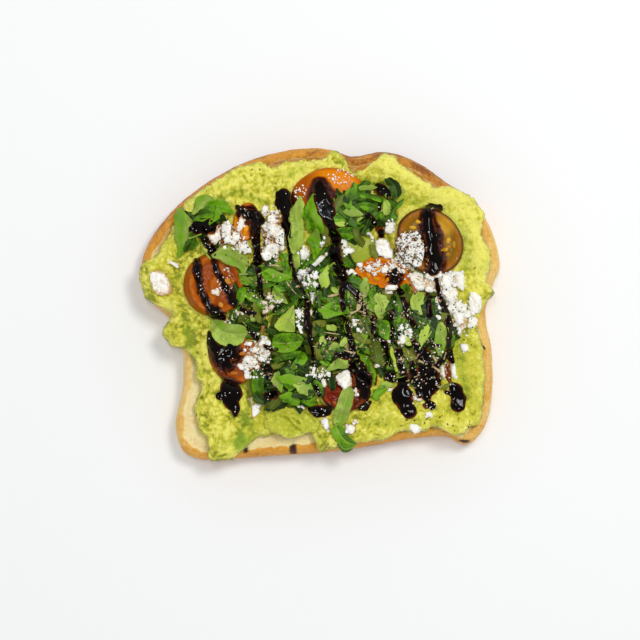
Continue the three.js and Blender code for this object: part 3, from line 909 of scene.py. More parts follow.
# Strokes and pools of glaze: points of each line with half widths.
GLAZE_LINES = [
    [(-21, 29, 1.2), (-21.3, 24, 1.5), (-21, 17, 1.4), (-20.3, 10, 1.2), (-19.6, 3, 1)],
    [(-27.6, 33, 1.1), (-25.6, 31, 1.6), (-22, 29.9, 2.2), (-19.8, 28.6, 1.5)],
    [(-13.8, 37.4, 1.5), (-11.8, 37.2, 1.9), (-12.2, 34.6, 2.5), (-12.8, 33.6, 1.9)],
    [(-11.6, 33, 1.9), (-11.4, 29.6, 1.4), (-10.7, 25.4, 1.5), (-10.4, 22, 0.8), (-9.6, 14, 0.9),
     (-8, 9, 0.8), (-4.5, 2, 0.9), (-4, -6.5, 1.4), (-3, -12, 1), (-2.2, -16, 0.8),
     (-1.8, -20, 0.8)],
    [(0.3, 31, 1.3), (3.6, 27.4, 1.6), (5.3, 22.6, 1.5), (5.2, 18, 1.9), (6.9, 12, 2),
     (8, 8.5, 1.5), (7.6, 4, 1), (7.8, 0, 1.1), (8.9, -4, 1.2), (9.6, -8, 1.1), (10.5, -12, 1.2),
     (11.4, -16, 1.4), (12.2, -20, 2.1), (13.6, -22.6, 2.7), (14.8, -25, 2.7), (15.2, -27.6, 2.2),
     (15, -30.4, 1.6)],
    [(16.9, -33, 0.8), (15.3, -34.6, 1.3), (13.6, -35.3, 0.6)],
    [(5.6, -16.6, 1), (9, -17, 1.4), (11.5, -17.4, 1.6)], [(2.6, -11, 0.8), (5.6, -11.4, 0.9)],
    [(9.4, 6.5, 1.2), (12.5, 3.6, 1.2), (13.8, 1, 1.1), (14.6, -1, 1.2), (15.5, -3, 1)],
    [(18, -4.8, 1.1), (18.2, -11, 1.1)],
    [(20.8, -11.6, 1), (22.4, -14, 1), (22.8, -17, 0.7), (23.4, -20, 1.2)],
    [(24.2, -2.8, 1.2), (24.3, -5, 0.8), (24.3, -11, 0.6)], [(25.3, 9.9, 1.8), (25.4, 9.4, 1.8)],
    [(26.8, 5, 1.1), (28, 2.4, 1.1), (29, -0.6, 1.1), (29.2, -3, 1), (31, -5.6, 1.1),
     (32.4, -7.4, 0.9)],
    [(36.8, 3.4, 1.1), (36.8, 0, 1.2), (37, -3.4, 1.1)],
    [(39.4, 8.4, 0.8), (39.9, 6.4, 0.8), (40.2, 4, 0.8), (40.6, 1.8, 0.9), (41.8, -0.6, 1),
     (43, -3.4, 0.9), (43.4, -6, 1.4), (43.8, -9, 1.1), (43.6, -12, 1.1), (43.6, -14.6, 1.1),
     (44.3, -17.6, 1.4), (45, -19.2, 0.8)],
    [(26.2, -15.8, 1.3), (27, -19, 1.5), (27.8, -22, 1.5)], [(31, -19.6, 1.2), (31.6, -24, 1.6)],
    [(23.5, -24.2, 1.8), (24.2, -24.4, 1.8)],
    [(31.4, -12, 0.8), (33, -14.6, 1.5), (34, -17.4, 1.6)],
    [(37.6, -13.6, 0.7), (40.4, -13.6, 0.7)],
    [(35.4, -16.8, 2.3), (36, -20.6, 2.7), (37, -24, 3.4), (38, -26.4, 2.9), (36.2, -29.4, 2.3),
     (36.4, -31.4, 1.5)],
    [(40, -20.2, 1.2), (42.6, -17.4, 1.1)],
    [(28.4, -24, 1.8), (28.2, -27.6, 2.1), (28, -31, 3.2), (29.4, -34, 2.5), (30.2, -36, 2.3)],
    [(31, -24.6, 1), (33.4, -27, 1.6), (33.6, -30.4, 1.4)], [(36.6, -33.4, 1.5), (37.8, -34, 1.6)],
    [(44.6, -26.8, 1), (46, -28.8, 2.1), (46.9, -31.6, 2.7), (46.8, -33.8, 2.6)],
    [(42.8, -29.3, 0.7), (44.6, -29.8, 1)],
    [(43.4, -19.8, 0.8), (43.3, -22.6, 1.1), (43.9, -25.6, 0.8)],
    [(36.6, 32.6, 1.3), (36.4, 28, 2), (36.9, 25, 2.3), (37.8, 22, 2.4), (38.3, 18, 2.5),
     (39, 14, 2.4), (38.4, 11.6, 1.9)],
    [(37.4, 33.2, 1.2), (40.6, 32.8, 1.2)], [(20.7, 24.4, 1.3), (20.9, 24, 1.3)],
    [(-41.5, 15, 0.9), (-41, 12, 1.2), (-40.4, 7, 0.9), (-38.9, 3, 1), (-37.4, 0, 1.1),
     (-35.6, -2.6, 1.6), (-32.5, -4.4, 1.2)],
    [(-35.6, 14.6, 0.8), (-33.6, 9.5, 1), (-31, 5, 0.9), (-29.2, 2, 1.4), (-28.4, 0.4, 1)],
    [(-37.2, -9.4, 1), (-36, -13.4, 1.7), (-32.9, -17.2, 2.4), (-30.6, -20.5, 1.8)],
    [(-30.2, -14.6, 1.6), (-29.4, -16.4, 2.3)],
    [(-31, -28, 2.3), (-28.6, -29.5, 2.4), (-30.5, -32, 2.6), (-28.4, -34.6, 1.7),
     (-28.3, -37, 1.1)],
    [(-33.6, -31, 1.5), (-31, -30, 1.5)], [(-42.4, 25.6, 1.6), (-40, 26.6, 2.6), (-37, 26.2, 2.6)],
    [(-38.8, 22, 1.2), (-37, 19.8, 1.5), (-35.6, 17.4, 1.2)],
    [(0, 40.5, 1.8), (0.6, 37, 2.8), (1.8, 33.5, 3.2), (3.4, 31, 2.2)],
    [(20, 39.6, 1.6), (22.6, 37.4, 1.8)], [(20.3, 34.4, 0.8), (20.2, 31.4, 0.9)],
    [(16.4, 30, 1), (18.8, 27.6, 1.1)], [(-3, -35.2, 1), (-0.6, -35.8, 2), (2.2, -35.8, 1.9)],
    [(-17.8, -30.8, 1.3), (-15, -30.2, 1.8)], [(-1, -27.4, 0.6), (0, -30.4, 0.8)],
    [(-19, -21, 1.3), (-17.2, -21.6, 1.5), (-17, -24.6, 1.2)],
    [(-18.5, -13.8, 0.8), (-14.6, -15, 0.9)], [(-26, -1.4, 0.9), (-22, -3.2, 0.9)],
    [(-24, -8, 1), (-21.4, -11, 1.1)],
]
# Thin strokes, through which a red-brown shows.
THIN_GLAZE_LINES = [
    [(39.4, 8.4, 0.8), (39.9, 6.4, 0.8), (40.2, 4, 0.8), (40.6, 1.8, 0.8)],
    [(42.4, -1.6, 0.5), (43, -4.4, 0.6)],
    [(43.4, -19.8, 0.8), (43.3, -22.6, 1.1), (43.9, -25.6, 0.8)],
    [(11.6, -23.4, 0.9), (11.9, -26.6, 0.9)], [(12.4, -34, 0.8), (15, -32.2, 1)],
    [(35, -33.6, 0.7), (36, -34.8, 0.6)], [(45.6, -27.4, 0.9), (44.4, -30, 0.6)],
    [(20.2, 25.2, 1.2), (21, 24.6, 1.2)], [(-33, -22.6, 0.9), (-31.6, -24, 0.6)],
    [(33.4, -20.6, 0.8), (33, -23, 0.7)], [(7.4, 5.6, 0.8), (7.2, 1.4, 0.8)],
    [(19.2, -23, 0.5), (19, -26.6, 0.5)],
]
# Distance along a stroke between the beads that it is made of.
BEAD_SPACING = 0.35


def glaze_run():
    """Over the relief's net: how far inside the glaze each place is, how thick, how sheer."""
    places = np.stack([relief.x, relief.y], -1)
    x = relief.x + 0.3 * swell(places, 3.2, 81)
    y = relief.y + 0.3 * swell(places, 3.2, 82)
    inside, thick, thin = np.full(x.shape, -9.0), np.zeros(x.shape), np.zeros(x.shape)
    for line in THIN_GLAZE_LINES + GLAZE_LINES:
        sheer = line in THIN_GLAZE_LINES
        spots = smooth_line(line, max(3, int(line_length(line) / BEAD_SPACING)))
        beads = 1 + 0.2 * swell(spots[:, :2], 2.4, 83)
        for (cx, cy, half), bead in zip(spots, beads):
            half = half * bead * min(1, 0.74 + 0.13 * half)
            reach = 2.4 * half + 1.4
            c0, r0 = (max(0, int((v - reach - relief.low) / relief.step)) for v in (cx, cy))
            c1, r1 = (int((v + reach - relief.low) / relief.step) + 1 for v in (cx, cy))
            spot = np.s_[r0:r1, c0:c1]
            level = 1 - ((x[spot] - cx) ** 2 + (y[spot] - cy) ** 2) / half**2
            inside[spot] = np.maximum(inside[spot], level)
            dome = (0.25 if sheer else 0.32 + 0.16 * half) * np.maximum(level, 0) ** 0.45
            thick[spot] = np.maximum(thick[spot], dome)
            cover = smoothstep(0, 0.25, level)
            thin[spot] = np.maximum(thin[spot], cover) if sheer else thin[spot] * (1 - cover)
    return inside, thick, thin


glaze_inside, glaze_thick, glaze_thin = glaze_run()


def soak(x, y, near=-1.0):
    """How stained by glaze each place is: 1 under it, 0 away from it."""
    return smoothstep(near, 0.1, relief.at(x, y, glaze_inside))


# ---------------------------------------------------------------- tomatoes

TOMATO_FOOT = 15.2
# The ring after which the cut face begins, and the places tried for each half's seeds.
LAST_SKIN_RING = 26
SEED_GUESSES = 15
# Node, look, centre, half sizes, turn, height of the face, and what sets it apart: lean of the
# face, how it tips, squareness, crown of a half that lies on its cut side, how brown its left
# end is, number and turn of the hollows with seeds, seeds placed one by one, a golden patch of
# painted highlight as x, y and reach, and the record's slot where it isn't its look's.
TOMATOES = [
    ("tomato_half_top", "orange", (3.2, 36.6), (13, 9.7), 4, 22.6,
     {"square": 1.8, "crown": 1.6, "brown": 1.4}),
    ("tomato_half_right", "brown", (37.3, 21.4), (12.3, 10.4), -45, 23,
     {"hollows": (2, 130), "seeds": [(33, 28), (31.6, 26), (43.4, 21.8), (42.5, 18.6)],
      "golden_highlight": (41.8, 26.4, 5)}),
    ("tomato_half_left", "amber", (-36.2, 6.8), (9.7, 10.6), 0, 23.4,
     {"lean": (1.8, 0.2), "tip": 0.12, "hollows": (2, 70)}),
    ("tomato_half_lower_left", "amber", (-29.6, -16.2), (8, 11), 18, 22.8,
     {"lean": (1, 0), "tip": 0.08, "hollows": (2, 20), "slot": "brown_tomato"}),
    ("tomato_half_front", "red", (8.8, -29.3), (8.6, 6.6), 0, 21.8, {"hollows": (3, 50)}),
    ("tomato_half_middle", "orange", (21.6, 10.6), (10.6, 5.4), -14, 21.6,
     {"hollows": (2, 0)}),
    ("tomato_green_piece", "green", (13.4, 18.6), (6, 4.6), 20, 21.8, {"crown": 0.7}),
    ("tomato_piece_upper_left", "orange", (-24.6, 28), (4.4, 6.6), -8, 21.4,
     {"hollows": (1, 90)}),
]
# From the foot to the cut face: reach, share of the depth under the face, height over the face.
TOMATO_PROFILE = [(0.3, 1, 0), (0.62, 0.98, 0), (0.86, 0.84, 0), (0.98, 0.58, 0), (1, 0.4, 0),
                  (0.99, 0.2, 0), (0.975, 0.05, -0.2), (0.945, 0, 0), (0.915, 0, 0.18)]
CROWN_PROFILE = [(0.3, 1, 0), (0.62, 0.98, 0), (0.86, 0.84, 0), (0.98, 0.58, 0), (1, 0.4, 0),
                 (0.995, 0.22, 0), (0.97, 0.06, -0.1), (0.92, 0, 0.2), (0.85, 0, 0.55)]


class TomatoSettings(bpy.types.PropertyGroup):
    orange: colour_setting("Orange flesh", "Flesh of the orange halves", tint(224, 132, 0))
    amber: colour_setting("Amber flesh", "Flesh of the amber halves", tint(184, 94, 0))
    brown: colour_setting("Brown flesh", "Flesh of the brown half", tint(158, 96, 14))
    red: colour_setting("Red flesh", "Flesh of the red half", tint(140, 44, 10))
    green: colour_setting("Green flesh", "Flesh of the green piece", tint(166, 174, 54))


# By look: the record's slot, then the colours of gel, skin, seeds and rim.
TOMATO_TINTS = {
    "orange": ("orange_tomato", tint(212, 110, 0), tint(206, 116, 0), tint(238, 172, 30),
               tint(152, 68, 0)),
    "amber": ("orange_tomato", tint(148, 64, 0), tint(184, 106, 2), tint(224, 156, 56),
              tint(126, 56, 2)),
    "brown": ("brown_tomato", tint(128, 96, 12), tint(98, 60, 8), tint(214, 160, 40),
              tint(74, 34, 6)),
    "red": ("red_tomato", tint(120, 28, 8), tint(104, 22, 6), tint(196, 108, 60), tint(90, 18, 4)),
    "green": ("green_tomato", tint(150, 162, 44), tint(120, 136, 36), tint(206, 204, 110),
              tint(120, 130, 34)),
}


def tomato_material(look, settings):
    _, gel_tint, skin_tint, seed_tint, rim_tint = TOMATO_TINTS[look]
    material, graph, place = new_material(f"{look}_tomato")
    fine = graph.noise(place, 0.9, 3, 0.6)
    soaked = graph.mask("soak")
    colour = graph.layers(
        getattr(settings, look),
        (graph.spread(graph.noise(place, 4.5, 3), 0.35, 0.7, 0, 0.5), gel_tint),
        (graph.spread(fine, 0.5, 0.8, 0, 0.2), seed_tint),
        (graph.mask("gel"), gel_tint),
        (graph.mask("skin"), skin_tint),
        (graph.mask("seed"), seed_tint),
        (graph.math("MULTIPLY", graph.mask("rim"), 0.6), rim_tint),
        (graph.spread(soaked, 0, 0.6), tint(104, 38, 2)),
        (graph.spread(soaked, 0.4, 1), tint(34, 9, 2)),
    )
    grain = graph.group("uneven_grain", Place=place, Size=1.2, Sharpness=0.5)
    strength = graph.math("MULTIPLY_ADD", graph.mask("skin"), -0.9, 1.0)
    height = graph.math("MULTIPLY", grain, strength)
    finish_shader(graph, Base_Color=colour, Roughness=graph.spread(fine, 0.3, 0.7, 0.08, 0.24),
                  Normal=graph.bump(height, 0.16, 0.7),
                  Specular_IOR_Level=0.06 if look == "orange" else 0.1,
                  Subsurface_Weight=0.15, Subsurface_Scale=0.0015,
                  Subsurface_Radius=(1.0, 0.45, 0.12))
    return material


def tomato_hollows(across, up, hollows):
    """How deep in a seed hollow each place of a cut face is, from 0 to 1."""
    if not hollows:
        return np.zeros(np.shape(across))
    count, turn = hollows
    reach = np.hypot(across, up)
    angle = np.arctan2(up, across) - math.radians(turn)
    if count == 1:
        wall = 1
    else:
        nearest = (angle + math.pi / count) % (2 * math.pi / count) - math.pi / count
        wall = smoothstep(0.05, 0.2, reach * np.abs(np.sin(nearest)) - 0.03)
    return wall * smoothstep(0.8, 0.68, reach) * (1 if count == 1 else smoothstep(0.12, 0.3, reach))


def add_seed(batch, x, y, z, size, turn, **masks):
    """A drop-shaped seed, part sunk in what carries it."""
    tall = np.radians(np.linspace(-80, 80, 8))[:, None]
    about = np.radians(np.arange(0, 360, 30))[None, :]
    u = size[0] * np.cos(tall) * np.cos(about) * (1 + 0.18 * np.cos(about))
    v = size[1] * np.cos(tall) * np.sin(about)
    height = z + size[2] * np.sin(tall) + 0 * about
    batch.add_rings(np.stack([*turned(x, y, u, v, turn), height], -1), **masks)


class TOAST_OT_tomatoes(bpy.types.Operator):
    """Halves and pieces of cherry tomato, bedded in the mash"""

    bl_idname = "toast.tomatoes"
    bl_label = "Tomatoes"

    def execute(self, context):
        materials = {}
        for number, (node, look, middle, half, turn, face, more) in enumerate(TOMATOES):
            luck = np.random.default_rng(100 + number)
            square, crown = more.get("square", 2), more.get("crown", 0)
            lean, tip = more.get("lean", (0, 0)), more.get("tip", 0)
            columns = int(min(176, 48 + 11 * max(half)))
            unit = directions(columns)
            unit = unit * ((np.abs(unit) ** square).sum(1) ** (-1 / square))[:, None]
            unit = unit * (1 + 0.022 * swell(unit * 2 + number, 1.3, 101))[:, None]

            def spot(points):
                u, v = points[..., 0] * half[0], points[..., 1] * half[1]
                return turned(*middle, u, v, math.radians(turn))

            profile = smooth_line(CROWN_PROFILE if crown else TOMATO_PROFILE, 30)
            inward = [(reach, 0, profile[-1, 2]) for reach in
                      np.linspace(profile[-1, 0], 0.02, 10 + int(3 * min(half)))[1:]]
            rings, places = [], []
            for reach, drop, over in [*map(tuple, profile), *inward]:
                x, y = spot(unit * reach)
                shift = smoothstep(0.4, 0, drop) if lean != (0, 0) else 0
                x, y = x + lean[0] * shift * 0.8, y + lean[1] * shift * 0.8
                level = face - tip * (x - middle[0])
                z = level - (level - TOMATO_FOOT) * drop + over
                if crown and drop == 0:
                    z = z - over + crown * (1 - (reach * 0.86) ** 2) + 0.15 * (reach < 0.2)
                rings.append(np.column_stack([x, y, z + np.zeros(len(x))]))
                places.append(unit * reach)
            rings, places = np.array(rings), np.array(places)
            out = np.linalg.norm(places, axis=-1)
            cut = (np.arange(len(rings)) > LAST_SKIN_RING)[:, None] * (crown == 0)
            hollow = cut * tomato_hollows(places[..., 0], places[..., 1], more.get("hollows"))
            rough = 0.12 * swell(rings, 1.4, 103, 2) + 0.08 * swell(rings, 0.6, 104)
            fine = np.where(cut, rough - 0.62 * hollow, 0.05 * swell(rings, 4, 105))
            inner = smoothstep(0.86, 0.76, out) * cut
            rings[..., 2] += fine - 0.25 * inner
            # A golden patch on the cut face: a painted highlight.
            gx, gy, golden_highlight = more.get("golden_highlight", (0, 0, 0.1))
            away = np.hypot(rings[..., 0] - gx, rings[..., 1] - gy)
            batch = Batch()
            batch.add_rings(
                rings,
                gel=np.clip(hollow + 0.15 * inner, 0, 1),
                skin=np.where(cut + 0 * hollow, 0.0, 0.2 if crown else 1.0),
                seed=0.7 * cut * smoothstep(golden_highlight, 0.3 * golden_highlight, away),
                rim=np.maximum(smoothstep(0.84, 0.97, out),
                               more.get("brown", 0) * smoothstep(0, -0.6, places[..., 0])),
                soak=soak(rings[..., 0], rings[..., 1], -3),
            )
            relief.cover(rings[8:], closed=True)
            given = more.get("seeds", [])
            seeds = list(given)
            for _ in range(SEED_GUESSES if more.get("hollows") else 0):
                guess = luck.uniform(-0.75, 0.75, 2)
                if tomato_hollows(guess[0], guess[1], more["hollows"]) > 0.75:
                    x, y = spot(guess)
                    seeds.append((x + lean[0] * 0.8, y + lean[1] * 0.8))
            for order, (x, y) in enumerate(seeds):
                bright = 1.0 if order < len(given) else luck.uniform(0.2, 0.7)
                z = float(relief.at(x, y)) + 0.06
                add_seed(batch, x, y, z, (luck.uniform(0.8, 1.4), luck.uniform(0.5, 0.85), 0.4),
                         luck.uniform(0, 6.3), gel=0.3, seed=float(bright),
                         soak=0.8 * soak(x, y, -1))
            if look not in materials:
                materials[look] = tomato_material(look, context.scene.toast_tomatoes)
            batch.build(node.replace("tomato_", "cut_tomato_"),
                        more.get("slot", TOMATO_TINTS[look][0]), [node], materials[look])
        return {"FINISHED"}


# ---------------------------------------------------------------- basil

LEAF_CAP = 25.9
LEAF_STEP = 0.5
LEAF_HALF_THICK = 0.15
# How many times a leaf is stretched over the hollows under it.
LEAF_DRAPES = 26
# Tone of a leaf by letter: place on the ramp from dark to pale, and how olive it is.
LEAF_TONES = {"d": (0.05, 0), "m": (0.3, 0), "b": (0.45, 0), "g": (0.68, 0), "p": (0.85, 0),
              "l": (1, 0), "o": (0.3, 1), "k": (0.15, 0.5)}
# Heaps of torn basil: node, centre, half sizes, turn, height of the top.
BASIL_HEAPS = [
    ("basil_heap_upper", (9.5, 29), (10.5, 6.4), -8, 22.6),
    ("basil_heap_left", (-17.5, 5), (9.6, 8.2), -10, 22.2),
    ("basil_heap_middle", (4.5, -4.5), (13.5, 15.5), 20, 22.8),
    ("basil_heap_right", (30, -8), (14.5, 11), -20, 22.6),
    ("basil_heap_front", (-11.6, -26.6), (11, 7), -4, 22.8),
]
HEAP_COLUMNS = 96
# How much painted shade darkens the strips of each heap.
HEAP_SHADES = (0.04, 0.06, 0.1, 0.18, 0.48)
# Leaves that are pieces of their own: tone, half widths, midrib.
WHOLE_LEAVES = {
    "basil_leaf_left": [
        ("d", (2.4, 3.2, 2.2), [(-44.6, 31.6), (-40.6, 27), (-37, 20.6)]),
        ("g", (2.8, 3.2, 2.8, 2, 1.2), [(-45, 30.8), (-45.6, 25.5), (-45.8, 21.5), (-45.6, 18.3)]),
        ("m", (1, 1.9, 1.2), [(-42.2, 23.5), (-43, 20.6), (-44.2, 18.3)]),
    ],
    "basil_leaf_upper_left": [
        ("d", (1.6, 2.4, 1.8), [(-38, 32), (-35.4, 30), (-33.6, 27)]),
        ("g", (1.2, 1.9, 1.3), [(-42.6, 32.4), (-40, 34.4), (-35.4, 35.6)]),
        ("b", (1.6, 2.1, 2.1, 1.4), [(-38.4, 33.4), (-34, 33.2), (-29.6, 32.4)]),
        ("b", (1.2, 1.7, 1.3), [(-34.5, 33), (-35, 30.4), (-35.6, 27.8)]),
        ("m", (1, 1.6, 1.1), [(-41.6, 29.6), (-38.5, 30.3), (-36, 30.6)]),
    ],
    "basil_leaf_middle_left": [
        ("g", (1.8, 2.7, 2.7, 1.6), [(-34.6, 18), (-31, 17), (-27, 15), (-24.4, 11.8)]),
    ],
    "basil_leaf_center_pale": [
        ("p", (1.4, 2.2, 2.7, 2.3, 1.5), [(-8, 34.4), (-7.6, 27), (-7.2, 18.6)]),
    ],
    "basil_leaf_center_bright": [
        ("b", (2.6, 2.8, 2.5, 2), [(-4, 34.7), (-2.2, 30), (-0.6, 23.6)]),
        ("b", (1.7, 2, 0.5), [(-2.2, 24.4), (-1.4, 20), (-0.8, 16.4)]),
    ],
    "basil_leaf_over_tomato": [
        ("g", ((0.4, 0.4), (3.2, 2.8), (3, 4.6), (3.2, 4), (1.4, 1.8)),
         [(-36.6, -5), (-33, -8.6), (-29.9, -9.4), (-27, -9.8), (-24.2, -9.6)]),
    ],
    "basil_leaf_pale_upper": [
        ("l", ((0.4, 0.4), (1.5, 1.9), (2.9, 3.3), (3.8, 4)),
         [(-8.6, -0.6), (-9.6, -3.4), (-10.9, -6.2), (-12, -9)]),
    ],
    "basil_leaf_pale_lower": [
        ("b", ((2.6, 2.2), (3.5, 3.1), (3.3, 2.8), (1.3, 1.2)),
         [(-16, -12.8), (-11, -13), (-5.6, -12)]),
    ],
    "basil_leaf_upper_right": [("d", (0.7, 1.6, 1.2), [(22.8, 42.6), (25.4, 40), (26, 36)])],
    "basil_leaf_middle": [
        ("b", (1.6, 2.9, 2.2), [(0.8, -0.6), (4, -2), (7, -3.4)]),
        ("d", (0.5, 0.8, 0.5), [(-0.6, 3), (0, -1), (0.6, -3.6)]),
    ],
    "basil_ribbon_front": [
        ("g", (1.5, 2.4, 2.5, 2.5, 1.7), [(9.9, -27.6), (8.6, -33), (7.3, -37), (6.4, -40.6)]),
        ("b", (1.6, 2.3, 2.2, 1.8, 0.5),
         [(5.4, -40.2), (6.6, -43.4), (9.4, -46.4), (12.6, -47.2)]),
        ("m", (0.5, 1.3, 0.6), [(6.4, -46.4), (8.4, -48.6), (11.6, -48)]),
    ],
}
# Smaller leaves and cut strips, which belong to the nearest heap: tone, half width, both ends.
LOOSE_LEAVES = [
    ("m", 1, 3.4, 19.6, -6.8, 11.6), ("p", 1.3, -9.4, 20.2, -7.2, 12.4),
    ("b", 1.3, -12.5, 18, -10.8, 8.5), ("d", 0.9, -19, 13.8, -13.8, 14.3),
    ("b", 2.3, -18.6, 11.6, -11, 8.2), ("b", 1.1, -14.6, 6.6, -11.4, 4.6),
    ("m", 1.4, -11, 8.4, -8.4, 0.4), ("d", 2.1, -10, 7.6, -5.8, 2.2),
    ("m", 0.9, -14.6, -3.4, -7.8, 1), ("p", 1.6, 1.8, 12.2, 2, 5.4), ("p", 0.8, 4, 6, 5.8, 3.8),
    ("o", 1.2, 2.2, 26.4, 2.6, 20.6), ("m", 1.1, 11.8, 41, 9.8, 35.2),
    ("g", 0.8, 13.2, 38.8, 18.8, 40), ("m", 0.9, 13.3, 36.6, 20.6, 35.4),
    ("k", 1.3, 8.5, 37, 5, 31.5), ("g", 1.8, 8.6, 31.9, 13.3, 31.6),
    ("m", 0.9, 5.2, 32, 7.8, 30.4), ("b", 1.2, 2.8, 29.5, 8.4, 28.8),
    ("p", 0.9, 4.6, 27.6, 9, 26.8), ("m", 1.4, 13.2, 33, 18.6, 32.2),
    ("m", 1.9, 6.6, 24.2, 13.4, 24.4), ("k", 1.2, 11.6, 27.4, 15, 20),
    ("o", 1, 17.6, 20.5, 19.4, 15.8), ("p", 1.2, 22, 35, 22.6, 30.2),
    ("m", 0.8, 28.4, 35.2, 23.8, 28.4), ("b", 1.4, -25.6, 6, -26.8, 0.2),
    ("o", 0.9, -22.2, 0.6, -19.8, -5.4), ("p", 0.8, -23.4, -3.8, -21.8, -5.6),
    ("d", 1, -19.5, -5, -17.5, -7.5), ("b", 1.7, -4.6, -16.6, -8.6, -22.6),
    ("m", 1.4, -15.2, -18.8, -6.6, -16.6), ("p", 1, 2.2, -7.4, 5.8, -8),
    ("p", 1, 0.6, -10.6, 2.2, -14), ("g", 1.1, 3, -14.6, 6.4, -13), ("p", 1, 7.2, -14, 9, -11),
    ("m", 1.3, 0.5, -15.8, 4, -17.8), ("b", 0.9, 1, -18.8, 3, -20.5),
    ("g", 1.7, 3, -20.8, 9.6, -19.6), ("g", 1.7, 14.6, 8.4, 15.6, 2.6),
    ("m", 1.1, 17.6, 6, 18.6, 0), ("p", 2.5, 20.4, 3.6, 21.6, -2.8), ("d", 3, 32.6, -3.6, 39, -9),
    ("p", 2.5, 33.6, 4.4, 33.2, -3), ("m", 1.1, 26.6, 3, 27, -4.6),
    ("b", 1.8, 21.4, -5, 21.6, -11.4), ("k", 1.3, 14.6, -4.2, 16.4, -10.2),
    ("l", 2.1, 34.4, -7.6, 34.8, -13.2), ("g", 2.5, 39.6, -5.4, 41.8, -15),
    ("d", 1.1, 12.6, -14, 15.4, -14.4), ("k", 2.1, 18.6, -11, 20, -20),
    ("b", 1.5, 13.8, -16.4, 17.6, -22), ("b", 1.1, 16.8, -20, 18, -27),
    ("b", 0.9, 10.4, -18.6, 13, -16.2), ("l", 0.9, 23.8, -14.6, 26.4, -22.4),
    ("o", 1.5, 29, -14.4, 31.6, -18.8), ("l", 1.2, 28.8, -11.4, 31, -13.6),
    ("p", 1.1, 20.4, -27, 24.8, -26.8), ("b", 1.4, 22.4, -27.8, 18, -31.6),
    ("o", 1.4, -22, -21.6, -21.4, -31), ("m", 2, -20, -22, -19.6, -31.4),
    ("d", 1.4, -21.8, -29.8, -18.6, -32.8), ("g", 1.6, -14.4, -22.6, -13.8, -28.4),
    ("b", 2.5, -13, -26, -7.4, -27.6), ("g", 2.8, -8.6, -25, -2, -28.6),
    ("m", 1.3, -11, -21.4, -8.6, -24.4), ("b", 1.7, -13.6, -31.4, -6.6, -33),
    ("b", 1.7, -5, -31.6, -1, -32), ("d", 1.5, -9, -29.9, -1.6, -29.9),
    ("m", 0.9, -1.4, -25.4, 0.4, -29.6), ("o", 1.2, 41.6, -27.4, 43.8, -27.2),
    ("o", 0.9, 11, -9.6, 17.2, -12.4),
]
# Leaves that spill past a heap: number of the heap, centre, half sizes, how many.
LEAF_SPILLS = [
    (0, (17, 34), (8, 6), 22), (1, (-2, 10), (7, 7), 26), (2, (-9, -9), (7, 7), 24),
    (2, (12, 4), (6, 6), 20), (3, (22, -2), (9, 7), 30), (3, (36, -9), (6, 7), 18),
    (2, (10, -17), (11, 5), 26), (4, (-12, -18.5), (7, 4), 18), (1, (-22, 5), (4, 7), 12),
    (3, (25, -19), (6, 5), 14), (2, (-25, -6), (4.5, 4), 16), (0, (6, 13), (5, 6), 18),
    (3, (40, 0), (4, 8), 16), (4, (-2, -24), (6, 4), 16), (3, (33, -21), (6, 6), 14),
]
# Stalks: half thickness, points.
STALKS = [
    (0.25, [(-44, 22.3), (-42, 23), (-39.7, 24)]), (0.3, [(-40, 22), (-39.5, 19), (-36.5, 15.3)]),
    (0.25, [(30.6, 0.8), (32.6, 2.6), (34.4, 4.2)]),
    (0.25, [(35, -12.8), (36.4, -10.8), (37.6, -8.8)]),
    (0.2, [(-26, -5.5), (-25, -6.6), (-23.8, -8)]),
    (0.2, [(-24.5, -11.8), (-22.6, -12), (-21, -11.6)]),
    (0.3, [(19.4, 2.6), (20.8, 0), (22, -2.4)]),
]


class BasilSettings(bpy.types.PropertyGroup):
    dark: colour_setting("Dark leaf", "Leaf in the shade of the heap", tint(20, 46, 0))
    middle: colour_setting("Leaf", "Most of the leaves", tint(104, 158, 0))
    pale: colour_setting("Pale leaf", "Underside and young leaves", tint(166, 190, 78))
    strips: IntProperty(name="Strips", description="Cut strips for each square centimetre of heap",
                        min=0, default=21)


def basil_material(settings):
    material, graph, place = new_material("basil")
    fine = graph.noise(place, 0.7, 3, 0.6)
    uneven = graph.math("MULTIPLY_ADD", graph.noise(place, 3, 3), 0.6,
                        graph.math("MULTIPLY", fine, 0.3))
    tone = graph.math("ADD", graph.mask("tone"), graph.math("ADD", uneven, -0.45))
    across = graph.mask("across")
    pitch = graph.math("ADD", graph.mask("pitch"), 0.01)
    slanted = graph.math("MULTIPLY_ADD", across, -0.75, graph.mask("along"))
    apart = graph.math("PINGPONG", graph.math("DIVIDE", slanted, pitch), 0.5)
    veins = graph.spread(graph.math("MULTIPLY", apart, pitch), 0.05, 0.2, 1, 0)
    # The veins and the midrib are painted paler: partly the leaf's own paler veins, partly a
    # painted highlight along the midrib.
    rib = graph.spread(across, 0.14, 0.34, 1, 0)
    lines = graph.math("MAXIMUM", graph.math("MULTIPLY", veins, 0.45), rib)
    leafy = graph.math("MULTIPLY", lines, graph.mask("veins"))
    colour = graph.layers(
        settings.dark,
        (graph.spread(tone, 0, 0.34), tint(58, 100, 2)),
        (graph.spread(tone, 0.3, 0.5), settings.middle),
        (graph.spread(tone, 0.5, 0.7), tint(132, 154, 60)),
        (graph.spread(tone, 0.68, 0.88), settings.pale),
        (graph.spread(tone, 0.9, 1.05, 0, 0.8), tint(172, 196, 64)),
        (graph.mask("olive"), tint(106, 112, 28)),
        (graph.math("MULTIPLY", leafy, 0.52), tint(166, 190, 88)),
        # Painted shade: the heap's core is painted almost black green.
        (graph.mask("core"), tint(24, 38, 8)),
    )
    height = graph.math("SUBTRACT", graph.math("MULTIPLY", fine, 0.8), leafy)
    finish_shader(graph, Base_Color=colour, Roughness=graph.spread(fine, 0.3, 0.7, 0.3, 0.5),
                  Normal=graph.bump(height, 0.14, 0.8), Specular_IOR_Level=0.15)
    return material


